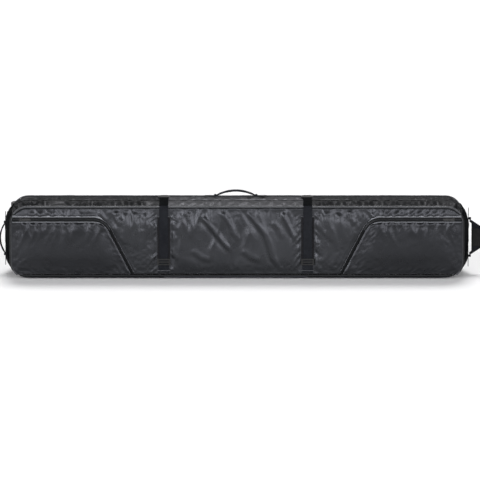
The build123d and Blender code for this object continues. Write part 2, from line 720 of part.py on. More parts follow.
def build():
    walls = shell(0, WALL)
    parts = {}
    parts.update(base_walls(walls))
    parts.update(lid_walls(walls))
    parts["base_front_welt"] = base_front_edge()
    parts["hinge_piping"] = hinge_rod(HINGE_PIPING_RADIUS)
    parts["back_panel"] = back_panel()
    parts["base_board"] = base_board()
    parts["base_lining"] = base_lining()
    parts["back_piping"] = piping_ring(WALL_BACK_Y) - housing_space()
    parts["base_runners"] = base_runners()
    parts["base_zip_tape"] = main_zip(False)

    for name, z in zip(("lower", "upper"), WHEEL_Z):
        parts[f"wheel_housing_{name}"] = wheel_housing(z)
        parts[f"wheel_{name}_tyre"] = tyre(z)
        parts[f"wheel_{name}_hub"] = hub(z)
        parts[f"wheel_{name}_bearings"] = bearings(z)
        parts[f"wheel_{name}_axle"] = axle(z)

    parts["top_handle"] = TOP_HANDLE_PLANE * loop_handle(TOP_HANDLE_SPAN, TOP_HANDLE_RISE)
    parts["top_handle_anchors"] = TOP_HANDLE_PLANE * handle_anchors(TOP_HANDLE_SPAN, HANDLE_PIVOT_RISE)
    parts["end_handle"] = END_HANDLE_PLANE * loop_handle(END_HANDLE_SPAN, END_HANDLE_RISE)
    parts["end_handle_anchors"] = END_HANDLE_PLANE * handle_anchors(END_HANDLE_SPAN, HANDLE_PIVOT_RISE)
    parts["haul_handle_frame"] = HAUL_HANDLE_PLANE * haul_frame()
    parts["haul_handle_grip"] = HAUL_HANDLE_PLANE * haul_grip_block()
    parts["haul_handle_anchors"] = HAUL_HANDLE_PLANE * handle_anchors(HAUL_SPAN, HAUL_PIVOT_RISE)

    parts["lid_padding"] = lid_padding()
    parts["lid_face"] = lid_face()
    parts["lid_piping"] = lid_piping()
    parts["lid_zip_tape"] = main_zip(True)
    for name, side in (("left", -1), ("right", 1)):
        parts[f"pocket_{name}_panel"] = pocket_sheet(side)
        parts[f"pocket_{name}_zip"] = pocket_zip(side)
        parts[f"pocket_{name}_slider"] = pocket_slider_plane(side) * slider()
        parts[f"pocket_{name}_pull"] = pocket_slider_plane(side) * pull_tab()
        parts[f"main_slider_{name}"] = main_slider_plane(side) * slider()
        parts[f"main_pull_{name}"] = main_slider_plane(side) * pull_tab()

    for name, x in zip(("left", "right"), STRAP_X):
        parts[f"strap_{name}_webbing"] = strap_webbing(x)
        parts[f"strap_{name}_backing"] = strap_backing(x)

    parts["strap_anchors"] = both(strap_anchor, STRAP_X)
    parts["strap_locks"] = both(strap_lock, STRAP_X)
    parts["strap_hooks"] = both(strap_hook, STRAP_X)
    parts["strap_rings"] = both(strap_ring, STRAP_X)
    parts["strap_tabs"] = both(strap_tab, STRAP_X)
    parts["inner_straps"] = both(inner_strap, INNER_STRAP_X)
    parts["inner_strap_buckles"] = both(inner_buckle, INNER_STRAP_X)
    return parts


os.makedirs("parts", exist_ok=True)
for node, shape in build().items():
    export_step(Compound(shape.solids()), f"parts/{node}.step")
print("lid hinge axis: y", HINGE_Y, "z", HINGE_Z)
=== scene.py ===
"""Looks for the long wheeled snowboard bag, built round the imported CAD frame.

Metres, in the CAD's own frame: +X runs to the haul handle, -Y is the lid's side, +Z is up.
"""

from math import ceil, cos, pi, radians, sin

import bmesh
import bpy
import numpy as np
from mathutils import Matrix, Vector


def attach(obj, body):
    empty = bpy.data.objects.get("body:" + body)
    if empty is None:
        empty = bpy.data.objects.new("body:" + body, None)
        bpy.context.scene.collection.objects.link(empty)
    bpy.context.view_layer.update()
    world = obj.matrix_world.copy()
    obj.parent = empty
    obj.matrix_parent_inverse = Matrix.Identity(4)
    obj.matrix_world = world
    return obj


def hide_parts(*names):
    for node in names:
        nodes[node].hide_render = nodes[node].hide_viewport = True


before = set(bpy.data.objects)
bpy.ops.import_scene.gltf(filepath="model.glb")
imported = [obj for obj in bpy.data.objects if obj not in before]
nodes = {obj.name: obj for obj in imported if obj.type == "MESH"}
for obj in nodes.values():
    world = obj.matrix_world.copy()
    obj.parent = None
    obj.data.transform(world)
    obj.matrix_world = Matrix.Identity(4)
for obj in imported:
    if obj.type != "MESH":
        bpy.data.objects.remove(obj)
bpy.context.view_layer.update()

# ---- the bag's shape, as in the CAD
MID_Z = 0.160
FULL = (1.000, 0.160, 0.100)  # half length, half height and corner radius of the body's middle
FACE = (0.974, 0.154, 0.072)  # the same for its front and back faces
FULL_Y = 0.060  # the body keeps its full section out to this depth each way
WALL_FRONT_Y, WALL_BACK_Y = 0.124, 0.126
WALL = 0.0095
HINGE_Y, HINGE_Z = -0.131, 0.014
OPENING_SLOPE = 0.129 / 0.306
OPENING_COS = 0.9215
LID_LOW_Z = 0.0205
FACE_Y = -0.138
BACK_Y = 0.138
STRAPS = {"left": -0.315, "right": 0.305}  # the middle of each compression strap
STRAP_Y, STRAP_Z = -0.1411, 0.3245  # how far the straps stand in front of the face and above the top
INNER_STRAPS = (-0.450, 0.450)
END_X = 0.968  # the bag's sides face its ends beyond this
TOP_SEAM_Z = 0.314
POCKET_FOOT_X, POCKET_KNEE_X = 0.460, 0.577
POCKET_LOW_Z, POCKET_TOP_Z = 0.026, 0.254
POCKET_RADIUS = 0.075
POCKET_ZIP = 0.015
HOUSING_X, HOUSING_Y, HOUSING_Z = -0.880, 0.056, 0.058
# How far the lid's front may bulge at the hinge, and how much more it may with each metre of height.
FLOOR_ROOM, FLOOR_SLOPE = 0.0100, 0.035
SIDE_FRONT_Y, SIDE_BACK_Y = -0.1362, WALL_BACK_Y + 0.0002
X, Y, Z, FRONT = (1, 0, 0), (0, 1, 0), (0, 0, 1), (0, -1, 0)


# ---- numbers
def smooth(value, low, high):
    t = np.clip((value - low) / (high - low), 0.0, 1.0)
    return t * t * (3 - 2 * t)


def noise(x, y, seed):
    """Smooth noise from -1 to 1, with one bump to the unit."""
    cells = 128
    table = np.random.default_rng(seed).uniform(-1, 1, (cells, cells))
    x, y = np.broadcast_arrays(x, y)
    i, j = np.floor(x).astype(int), np.floor(y).astype(int)
    u, v = x - i, y - j
    u, v = u * u * (3 - 2 * u), v * v * (3 - 2 * v)
    i0, j0, i1, j1 = i % cells, j % cells, (i + 1) % cells, (j + 1) % cells
    low = table[i0, j0] * (1 - u) + table[i1, j0] * u
    high = table[i0, j1] * (1 - u) + table[i1, j1] * u
    return low * (1 - v) + high * v


def ridged(x, y, seed):
    """Noise with sharp crests, from 0 in the hollows to 1 on the crests."""
    return 1 - np.abs(noise(x, y, seed)) * 1.6


def strap_distance(x):
    """Distance to the middle of the nearer compression strap."""
    return np.min([np.abs(x - s) for s in STRAPS.values()], axis=0)


def near_line(x, z, points):
    """Distance to a line through points, its signed side, and how far along it the nearest point is."""
    best, side, along = np.full(x.shape, 9.0), np.zeros(x.shape), np.zeros(x.shape)
    last = len(points) - 1
    for k in range(last):
        (ax, az), (bx, bz) = points[k], points[k + 1]
        dx, dz = bx - ax, bz - az
        t = np.clip(((x - ax) * dx + (z - az) * dz) / (dx * dx + dz * dz), 0, 1)
        d = np.hypot(x - ax - t * dx, z - az - t * dz)
        s = np.sign(dx * (z - az) - dz * (x - ax))
        closer = d < best
        best = np.where(closer, d, best)
        side = np.where(closer, s, side)
        along = np.where(closer, (k + t) / last, along)
    return best, side, along


# ---- meshes
class Mesh:
    """Gathers the points and faces of a piece that is made of several parts."""

    def __init__(self):
        self.verts, self.faces, self.looks = [], [], []

    def add(self, verts, faces, look=0):
        start = len(self.verts)
        self.verts.extend(np.asarray(verts, float).reshape(-1, 3).tolist())
        self.faces.extend(tuple(start + i for i in face) for face in faces)
        self.looks.extend(look if isinstance(look, list) else [look] * len(faces))
        return self

    def make(self, name, body, looks, slot, sharp=50):
        """A mesh object that rides on a CAD body."""
        mesh = bpy.data.meshes.new(name)
        mesh.from_pydata(self.verts, [], self.faces)
        for look in looks:
            mesh.materials.append(look.mat)
        mesh.polygons.foreach_set("material_index", np.asarray(self.looks, np.int32))
        work = bmesh.new()
        work.from_mesh(mesh)
        bmesh.ops.recalc_face_normals(work, faces=work.faces)
        work.to_mesh(mesh)
        work.free()
        mesh.shade_smooth()
        mesh.set_sharp_from_angle(angle=radians(sharp))
        obj = bpy.data.objects.new(name, mesh)
        bpy.context.scene.collection.objects.link(obj)
        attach(obj, body)
        return obj


def slab_grid(mesh, front, back, back_look=0):
    """A closed slab between two grids of points, front and back."""
    n, m = front.shape[:2]
    count = n * m
    faces, looks = [], []
    for a in (i * m + j for i in range(n - 1) for j in range(m - 1)):
        b, c, d = a + m, a + m + 1, a + 1
        faces.extend([(a, b, c, d), (count + d, count + c, count + b, count + a)])
        looks.extend([0, back_look])
    sides = [(i * m + j, (i + 1) * m + j) for i in range(n - 1) for j in (0, m - 1)]
    sides += [(i * m + j, i * m + j + 1) for j in range(m - 1) for i in (0, n - 1)]
    faces.extend((a, b, count + b, count + a) for a, b in sides)
    looks.extend([0] * len(sides))
    return mesh.add(np.concatenate([front.reshape(-1, 3), back.reshape(-1, 3)]), faces, looks)


def sweep(mesh, path, side, up, profile, look=0, closed=False):
    """A profile of (side, up) offsets carried along a path. side and up are one vector or one each point."""
    path = np.asarray(path, float)
    n = len(path)
    side = np.broadcast_to(np.asarray(side, float), (n, 3))
    up = np.broadcast_to(np.asarray(up, float), (n, 3))
    profile = np.asarray(profile, float)
    if profile.ndim == 2:
        profile = np.broadcast_to(profile, (n,) + profile.shape)
    k = profile.shape[1]
    verts = path[:, None] + side[:, None] * profile[..., :1] + up[:, None] * profile[..., 1:]
    faces = []
    for i in range(n if closed else n - 1):
        low, high = i * k, (i + 1) % n * k
        faces.extend((low + j, low + (j + 1) % k, high + (j + 1) % k, high + j) for j in range(k))
    if not closed:
        faces.append(tuple(range(k)))
        faces.append(tuple((n - 1) * k + j for j in reversed(range(k))))
    return mesh.add(verts, faces, look)


ROD_SIDES = 12


def tube(radius, sides):
    """A round profile."""
    angles = np.arange(sides) * 2 * pi / sides
    return np.stack([radius * np.cos(angles), radius * np.sin(angles)], 1)


def rod(radii):
    """A round profile for each point of a path."""
    return tube(1.0, ROD_SIDES)[None] * np.asarray(radii)[:, None, None]


def band(width, thickness):
    """The section of flat webbing, with soft edges."""
    half, t, edge = width / 2, thickness / 2, 0.0012
    row = [(-half, 0), (-half + edge * 0.3, t * 0.75), (-half + edge, t), (-half * 0.5, t * 0.92),
           (0, t * 0.9)]
    top = row + [(-x, y) for x, y in row[-2::-1]]
    return np.array(top + [(x, -y) for x, y in top[-2:0:-1]])


def frames_along(path, across):
    """The up vector at each point of a ribbon whose width runs along across."""
    path = np.asarray(path, float)
    tangent = np.gradient(path, axis=0)
    tangent /= np.linalg.norm(tangent, axis=1)[:, None]
    up = np.cross(tangent, np.broadcast_to(across, tangent.shape))
    return up / np.linalg.norm(up, axis=1)[:, None]


def resample(points, step):
    """Evenly spaced points along a line."""
    points = np.asarray(points, float)
    run = np.concatenate([[0], np.cumsum(np.linalg.norm(np.diff(points, axis=0), axis=1))])
    count = max(2, int(round(run[-1] / step)) + 1)
    at = np.linspace(0, run[-1], count)
    return np.stack([np.interp(at, run, points[:, k]) for k in range(points.shape[1])], 1)


def rounded(points, radius):
    """A line through points, its corners rounded."""
    points = [np.asarray(p, float) for p in points]
    line = [points[0]]
    for a, b, c in zip(points, points[1:], points[2:]):
        into, out = (a - b) / np.linalg.norm(a - b), (c - b) / np.linalg.norm(c - b)
        half = np.arccos(np.clip(into @ out, -1, 1)) / 2
        reach = min(radius / np.tan(half), 0.49 * np.linalg.norm(a - b), 0.49 * np.linalg.norm(c - b))
        for t in np.linspace(0, 1, 9):
            line.append((1 - t) ** 2 * (b + into * reach) + 2 * t * (1 - t) * b + t ** 2 * (b + out * reach))
    return np.array(line + [points[-1]])


# ---- the body's surface
SIGNS = np.array([(-1, -1), (-1, 1), (1, 1), (1, -1)], float)
RUN_X, RUN_Z = 2 * (FULL[0] - FULL[2]), 2 * (FULL[1] - FULL[2])


def stations(step, bottom=True):
    """Places round the outline: from one corner's centre, to the next one's, direction, share of the way."""
    rows = []

    def run(a, b, angle, length, low=0.0, high=1.0):
        n = ceil(length * (high - low) / step)
        rows.extend((a, b, angle, low + (high - low) * k / n) for k in range(n))

    def arc(a, start):
        n = ceil(FULL[2] * pi / 2 / step)
        rows.extend((a, a, start - 90 * k / n, 0.0) for k in range(n))

    if bottom:
        run(3, 0, 270, RUN_X, 0.5, 1.0)
    arc(0, 270)
    run(0, 1, 180, RUN_Z)
    arc(1, 180)
    run(1, 2, 90, RUN_X)
    arc(2, 90)
    run(2, 3, 0, RUN_Z)
    arc(3, 0)
    if bottom:
        run(3, 0, 270, RUN_X, 0.0, 0.5)
        rows.append(rows[0])
    return np.array(rows)


def outline(places, shape, inset):
    """Points on a rounded rectangle about the bag's middle, inset from it."""
    width, height, radius = shape
    centre = SIGNS * (width - radius, height - radius)
    angle = np.radians(places[:, 2])
    direction = np.stack([np.cos(angle), np.sin(angle)], 1)
    a, b, share = places[:, 0].astype(int), places[:, 1].astype(int), places[:, 3:4]
    reach = np.broadcast_to(radius - np.asarray(inset, float), (len(places),))[:, None]
    return centre[a] * (1 - share) + centre[b] * share + direction * reach


def body_point(places, y, inset=0.0):
    """Points on the body's outside, at depth y, inset into the wall."""
    y = np.broadcast_to(np.asarray(y, float), (len(places),))
    depth = np.where(y < 0, WALL_FRONT_Y, WALL_BACK_Y)
    taper = np.clip((np.abs(y) - FULL_Y) / (depth - FULL_Y), 0, 1)[:, None]
    flat = outline(places, FULL, inset) * (1 - taper) + outline(places, FACE, inset) * taper
    return np.stack([flat[:, 0], y, MID_Z + flat[:, 1]], 1)


def outward(places):
    angle = np.radians(places[:, 2])
    return np.stack([np.cos(angle), np.zeros(len(places)), np.sin(angle)], 1)


def run_along(places):
    """Distance round the outline at each place."""
    points = body_point(places, 0.0)
    return np.concatenate([[0], np.cumsum(np.linalg.norm(np.diff(points, axis=0), axis=1))])


def opening_y(places, offset, inset=0.0, taper=True):
    """The depth at which the wall stands offset metres off the opening; the lid's side is negative."""
    y = np.full(len(places), -0.05)
    for _ in range(5):
        z = body_point(places, y, inset)[:, 2]
        away = np.full(len(places), abs(offset))
        if taper:
            away = np.interp(z, (0.030, 0.046), (0.0015, abs(offset)))
        y = HINGE_Y + (z - HINGE_Z) * OPENING_SLOPE + np.sign(offset) * away / OPENING_COS
    return y


def half_height(x, inset=0.0):
    """Half the height of the face at x."""
    width, height, radius = (v - inset for v in FACE)
    past = np.clip(np.abs(x) - (width - radius), 0, radius)
    return height - radius + np.sqrt(radius ** 2 - past ** 2)


def half_length(z, shape, inset=0.0):
    """Half the length of the body at height z."""
    width, height, radius = (v - inset for v in shape)
    past = np.clip(np.abs(z - MID_Z) - (height - radius), 0, radius)
    return width - radius + np.sqrt(radius ** 2 - past ** 2)


# ---- materials
class Look:
    """A node material. Textures read object coordinates, so they follow each piece in every pose."""

    def __init__(self, name, dark, light, rough, patch=6.0, metallic=0.0, **fixed):
        self.mat = bpy.data.materials.new(name)
        self.mat.use_nodes = True
        self.tree = self.mat.node_tree
        self.bsdf = self.tree.nodes["Principled BSDF"]
        self.bsdf.inputs["Metallic"].default_value = metallic
        for key, value in fixed.items():
            self.bsdf.inputs[key.replace("_", " ")].default_value = value
        self.coords = self.node("ShaderNodeTexCoord").outputs["Object"]
        self.colour = self.ramp(self.noise(patch, 4), dark, light)
        self.tree.links.new(self.colour, self.bsdf.inputs["Base Color"])
        spread = self.node("ShaderNodeMapRange", Value=self.noise(patch * 3.1, 3))
        for key, value in (("From Min", 0.3), ("From Max", 0.7), ("To Min", rough[0]), ("To Max", rough[1])):
            spread.inputs[key].default_value = value
        self.tree.links.new(spread.outputs["Result"], self.bsdf.inputs["Roughness"])
        self.normal = None

    def node(self, kind, **inputs):
        made = self.tree.nodes.new(kind)
        for key, value in inputs.items():
            self.tree.links.new(value, made.inputs[key.replace("_", " ")])
        return made

    def noise(self, scale, detail):
        made = self.node("ShaderNodeTexNoise", Vector=self.coords)
        made.inputs["Scale"].default_value = scale
        made.inputs["Detail"].default_value = detail
        return made.outputs["Fac"]

    def ramp(self, value, dark, light, low=0.3, high=0.7):
        made = self.node("ShaderNodeValToRGB", Fac=value)
        ends = made.color_ramp.elements
        ends[0].position, ends[1].position = low, high
        ends[0].color, ends[1].color = (*dark, 1), (*light, 1)
        return made.outputs["Color"]

    def bump(self, height, distance, strength):
        made = self.node("ShaderNodeBump", Height=height)
        made.inputs["Distance"].default_value = distance
        made.inputs["Strength"].default_value = strength
        if self.normal is not None:
            self.tree.links.new(self.normal, made.inputs["Normal"])
        self.normal = made.outputs["Normal"]
        self.tree.links.new(self.normal, self.bsdf.inputs["Normal"])
        return self

    def grain(self, scale, distance, detail=4, strength=1.0):
        return self.bump(self.noise(scale, detail), distance, strength)

    def wave(self, direction, period):
        made = self.node("ShaderNodeTexWave", Vector=self.coords)
        made.bands_direction = direction
        made.inputs["Scale"].default_value = 2 * pi / 20 / period
        return made.outputs["Fac"]

    def sum(self, values):
        total = values[0]
        for value in values[1:]:
            made = self.node("ShaderNodeMath")
            made.operation = "ADD"
            self.tree.links.new(total, made.inputs[0])
            self.tree.links.new(value, made.inputs[1])
            total = made.outputs[0]
        return total

    def weave(self, period, distance):
        """Threads along all three axes, of which two show on any face of the bag."""
        if not hasattr(period, "__len__"):
            period = (period,) * 3
        threads = [self.wave(d, p) for d, p in zip("XYZ", period) if p]
        return self.bump(self.sum(threads), distance / len(threads), 1.0)

    def wear(self, colour, radius=0.0007):
        """A lighter rub along the edges."""
        bevel = self.node("ShaderNodeBevel")
        bevel.samples = 4
        bevel.inputs["Radius"].default_value = radius
        dot = self.node("ShaderNodeVectorMath")
        dot.operation = "DOT_PRODUCT"
        self.tree.links.new(bevel.outputs["Normal"], dot.inputs[0])
        self.tree.links.new(self.node("ShaderNodeNewGeometry").outputs["Normal"], dot.inputs[1])
        edge = self.ramp(dot.outputs["Value"], (1, 1, 1), (0, 0, 0), 0.80, 0.985)
        mix = self.node("ShaderNodeMixRGB", Fac=edge, Color1=self.colour)
        mix.inputs["Color2"].default_value = (*colour, 1)
        self.tree.links.new(mix.outputs["Color"], self.bsdf.inputs["Base Color"])
        return self


COOL, BLUISH, VIOLET = (0.88, 0.90, 1.0, 1), (0.90, 0.92, 1.0, 1), (0.84, 0.82, 1.0, 1)  # tints of the gloss
FABRIC_THREADS, WEBBING_THREADS = 0.0011, (0.0022, 0.0022, 0.0019)


def grey(value, blue=1.0):
    return (value, value * (1 + blue) / 2, value * blue)


coated = Look("coated_fabric", grey(0.0060, 1.15), grey(0.0100, 1.12), (0.24, 0.36), 5.0, IOR=1.43,
              Specular_Tint=COOL)
coated.grain(30.0, 0.0018, 3, 0.5).grain(160.0, 0.0005, 3, 0.5).weave(FABRIC_THREADS, 0.00012)
# Painted shade: a darker copy of the coated fabric for the pocket panels.
pocket_shaded_cloth = Look("pocket_fabric", grey(0.0040, 1.15), grey(0.0070, 1.12), (0.26, 0.36), 5.0, IOR=1.37,
                    Specular_Tint=COOL)
pocket_shaded_cloth.grain(38.0, 0.0020, 3, 0.5).grain(160.0, 0.0005, 3, 0.5).weave(FABRIC_THREADS, 0.00012)
# Painted shade: a near-black matte look laid in the grooves beside the piping and zips, where shadow falls.
groove_shade = Look("groove_painted_shade", grey(0.0022, 1.40), grey(0.0036, 1.35), (0.70, 0.85), 20.0,
            Specular_IOR_Level=0.15)
groove_shade.grain(120.0, 0.0006, 3, 0.6).weave(FABRIC_THREADS, 0.0001)
# Painted highlight: a lighter copy of the coated fabric for rolled and bound edges, so they read as lit.
edge_highlight = Look("rolled_edge_painted_highlight", grey(0.016, 1.12), grey(0.026, 1.10), (0.28, 0.36), 14.0, IOR=1.82,
           Specular_Tint=BLUISH)
edge_highlight.grain(90.0, 0.0008, 3, 0.5).weave(FABRIC_THREADS, 0.0001)
gusset = Look("gusset_fabric", grey(0.005, 1.20), grey(0.009, 1.16), (0.32, 0.44), 9.0, IOR=1.33,
              Specular_Tint=VIOLET)
gusset.grain(45.0, 0.0016, 4, 0.5).weave(0.0013, 0.00016)
# Painted shade: darker copies of the gusset fabric for the sides beyond the straps and for the ends.
side_painted_shade = Look("side_painted_shade", grey(0.0035, 1.20), grey(0.0065, 1.16), (0.30, 0.42), 9.0, IOR=1.15,
                   Specular_Tint=VIOLET)
side_painted_shade.grain(45.0, 0.0018, 4, 0.5).weave(0.0013, 0.00016)
end_painted_shade = Look("end_painted_shade", grey(0.0030, 1.20), grey(0.0050, 1.16), (0.42, 0.54), 9.0, IOR=1.03,
                  Specular_Tint=VIOLET)
end_painted_shade.grain(45.0, 0.0016, 4, 0.5).weave(0.0013, 0.00016)
lining = Look("lining_fabric", (0.115, 0.12, 0.13), (0.16, 0.165, 0.175), (0.75, 0.9), 12.0, Sheen_Weight=0.3)
lining.grain(420.0, 0.0003).weave(0.0016, 0.0003)
webbing = Look("webbing", grey(0.0042, 1.30), grey(0.0080, 1.25), (0.66, 0.80), 30.0, IOR=1.23,
               Specular_Tint=(0.80, 0.79, 1.0, 1))
webbing.grain(300.0, 0.0003).weave(WEBBING_THREADS, 0.0007)
# Painted shade: a darker, duller copy of the webbing for the part of each strap over the top.
top_webbing_painted_shade = Look("top_webbing_painted_shade", grey(0.0026, 1.30), grey(0.0050, 1.25), (0.80, 0.92), 30.0, IOR=1.06)
top_webbing_painted_shade.grain(300.0, 0.0003).weave(WEBBING_THREADS, 0.0007)
sleeve = Look("sleeve_fabric", grey(0.0035), grey(0.0065), (0.50, 0.62), 14.0, IOR=1.20,
              Specular_Tint=(0.86, 0.85, 1.0, 1))
sleeve.grain(60.0, 0.0015, 3, 0.6).weave(0.0012, 0.0002)
# Painted highlight: the lighter copy of the piping fabric, for the runs that catch the light.
piping = Look("piping_painted_highlight", grey(0.018, 1.05), grey(0.030, 1.05), (0.30, 0.38), 20.0, IOR=1.58,
              Specular_Tint=BLUISH)
piping.grain(90.0, 0.0008, 3, 0.6).weave(0.0010, 0.0001)
# Painted shade: the darker copy of the piping fabric, for upright runs and the hinge piping.
piping_painted_shade = Look("piping_painted_shade", grey(0.0040, 1.20), grey(0.0075, 1.16), (0.45, 0.55), 20.0, IOR=1.30)
piping_painted_shade.grain(90.0, 0.0008, 3, 0.6).weave(0.0010, 0.0001)
tape = Look("zip_tape", grey(0.006, 1.15), grey(0.010, 1.12), (0.6, 0.72), 25.0)
tape.weave(0.0009, 0.0002).grain(300.0, 0.0001)
coil = Look("zip_coil", grey(0.008), grey(0.013), (0.32, 0.42), 60.0).grain(800.0, 0.0001)
laminate = Look("laminated_tape", grey(0.007, 1.06), grey(0.012, 1.06), (0.36, 0.46), 18.0, IOR=1.40,
                Specular_Tint=BLUISH)
laminate.grain(120.0, 0.0004, 3, 0.6)
thread = Look("thread", grey(0.012), grey(0.022), (0.55, 0.7), 200.0).grain(1500.0, 0.0002)
plastic = Look("moulded_plastic", grey(0.0040), grey(0.0075), (0.46, 0.58), 9.0, Specular_IOR_Level=0.25)
plastic.grain(900.0, 0.00012).wear(grey(0.016))
metal = Look("zip_metal", grey(0.020), grey(0.030), (0.30, 0.42), 40.0, metallic=0.6)
metal.grain(1200.0, 0.00005).wear(grey(0.09))
coated_steel = Look("coated_steel", grey(0.022), grey(0.030), (0.30, 0.40), 25.0, metallic=0.3)
coated_steel.grain(1400.0, 0.00005).wear(grey(0.12))
steel = Look("zinc_steel", grey(0.46), grey(0.58), (0.24, 0.36), 60.0, metallic=1.0)
steel.grain(700.0, 0.00005).wear(grey(0.72))
urethane = Look("urethane", grey(0.022), grey(0.034), (0.5, 0.66), 30.0)
urethane.grain(260.0, 0.0004).wear(grey(0.07), 0.0015)
hub_plastic = Look("hub_plastic", grey(0.055), grey(0.075), (0.28, 0.38), 14.0)
hub_plastic.grain(700.0, 0.0001).wear(grey(0.12))
board = Look("board_sheet", grey(0.028), grey(0.04), (0.48, 0.6), 6.0).grain(500.0, 0.0002)
grip_rubber = Look("grip_rubber", grey(0.0035), grey(0.007), (0.6, 0.75), 20.0, Specular_IOR_Level=0.2)
grip_rubber.weave((0.0045, 0, 0.0045), 0.0012).grain(500.0, 0.0002)

# The looks of the CAD nodes that stay visible, by parts of their names.
CAD_LOOKS = {
    board: ("base_board",),
    plastic: ("base_runners", "wheel_housing_", "strap_locks", "strap_hooks", "inner_strap_buckles"),
    urethane: ("_tyre",),
    hub_plastic: ("_hub",),
    steel: ("_bearings", "_axle"),
    webbing: ("_handle_anchors", "haul_handle_frame"),
    grip_rubber: ("haul_handle_grip",),
    coated_steel: ("strap_rings",),
    metal: ("slider", "pull"),
}
for name, node in nodes.items():
    for look, keys in CAD_LOOKS.items():
        if any(key in name for key in keys):
            node.data.materials.clear()
            node.data.materials.append(look.mat)


# ---- cloth
def settle(points, pinned, grow, pressure, cap):
    """Lets cloth, cut a little too large for its seams, settle into folds. Returns how far it moved."""
    frames = 20
    n, m = points.shape[:2]
    flat = points.reshape(-1, 3)
    faces = [(i * m + j, (i + 1) * m + j, (i + 1) * m + j + 1, i * m + j + 1)
             for i in range(n - 1) for j in range(m - 1)]
    mesh = bpy.data.meshes.new("cloth_work")
    mesh.from_pydata(flat.tolist(), [], faces)
    obj = bpy.data.objects.new("cloth_work", mesh)
    bpy.context.scene.collection.objects.link(obj)
    seams = obj.vertex_groups.new(name="seams")
    seams.add([int(i) for i in np.flatnonzero(pinned.ravel())], 1.0, "REPLACE")
    cloth = obj.modifiers.new("cloth", "CLOTH")
    settings = dict(
        quality=6, mass=0.15, tension_stiffness=18, compression_stiffness=18, shear_stiffness=6,
        bending_stiffness=1.5, tension_damping=15, compression_damping=15, bending_damping=2,
        shrink_min=-grow, shrink_max=-grow, vertex_group_mass="seams",
        use_pressure=True, uniform_pressure_force=pressure)
    for key, value in settings.items():
        setattr(cloth.settings, key, value)
    cloth.settings.effector_weights.gravity = 0
    cloth.point_cache.frame_start = 1
    cloth.point_cache.frame_end = frames
    scene = bpy.context.scene
    for at in range(1, frames + 1):
        scene.frame_set(at)
    done = obj.evaluated_get(bpy.context.evaluated_depsgraph_get()).to_mesh()
    moved = np.zeros(len(flat) * 3)
    done.vertices.foreach_get("co", moved)
    moved = moved.reshape(-1, 3) - flat
    scene.frame_set(1)
    bpy.data.objects.remove(obj)
    bpy.data.meshes.remove(mesh)
    size = np.linalg.norm(moved, axis=1)[:, None]
    moved = moved * np.minimum(1, cap / np.maximum(size, 1e-9))
    return moved.reshape(n, m, 3)


def finer(values, rows, columns):
    """A coarse grid of values read at fractional rows and columns, with a smooth cubic between them."""
    def along(array, at):
        i = np.clip(np.floor(at).astype(int), 0, array.shape[0] - 2)
        t = (at - i).reshape((-1,) + (1,) * (array.ndim - 1))
        p0, p1 = array[np.maximum(i - 1, 0)], array[i]
        p2, p3 = array[i + 1], array[np.minimum(i + 2, array.shape[0] - 1)]
        return 0.5 * (2 * p1 + (p2 - p0) * t + (2 * p0 - 5 * p1 + 4 * p2 - p3) * t ** 2
                      + (3 * p1 - p0 - 3 * p2 + p3) * t ** 3)

    return along(along(values, rows).swapaxes(0, 1), columns).swapaxes(0, 1)


# ---- the lid's front
def pocket_inner_x(z, grow=0.0):
    """How far from the middle the pocket's slanted edge is at height z."""
    slant = np.arctan2(POCKET_KNEE_X - POCKET_FOOT_X, POCKET_TOP_Z - POCKET_LOW_Z)
    knee_x = POCKET_KNEE_X - (grow / np.cos(slant) - grow * np.tan(slant))
    knee_z = POCKET_TOP_Z + grow
    radius = POCKET_RADIUS + grow
    turn = pi / 2 - slant
    reach = radius * np.tan(turn / 2)
    straight = knee_x + (z - knee_z) * np.tan(slant)
    centre_x, centre_z = knee_x + reach, knee_z - radius
    dz = np.clip(z - centre_z, 0, radius)
    bend = centre_x - np.sqrt(radius ** 2 - dz ** 2)
    return np.where(z > knee_z - reach * np.cos(slant), np.maximum(bend, straight), straight)


def pocket_path(grow, step=0.004):
    """The right pocket's edge, from the bottom up the slant and along the top, in x and z."""
    top = POCKET_TOP_Z + grow
    bend = 0.2  # the height at which the rows begin to close up towards the top
    z = np.concatenate([np.linspace(POCKET_LOW_Z, bend, 30),
                        top - (top - bend) * (1 - np.sin(np.linspace(0, pi / 2, 40)))])
    x = pocket_inner_x(z, grow)
    end = half_length(top, FACE, 0.005)
    line = np.concatenate([np.stack([x, z], 1), [(end, top)]])
    return resample(line, step)


def pocket_distance(x, z):
    """Distance outward from the nearer pocket's edge; negative inside the pocket."""
    best, _, _ = near_line(np.abs(x), z, pocket_path(0.0, 0.006))
    inside = (z < POCKET_TOP_Z) & (np.abs(x) > pocket_inner_x(z))
    return np.where(inside, -best, best)


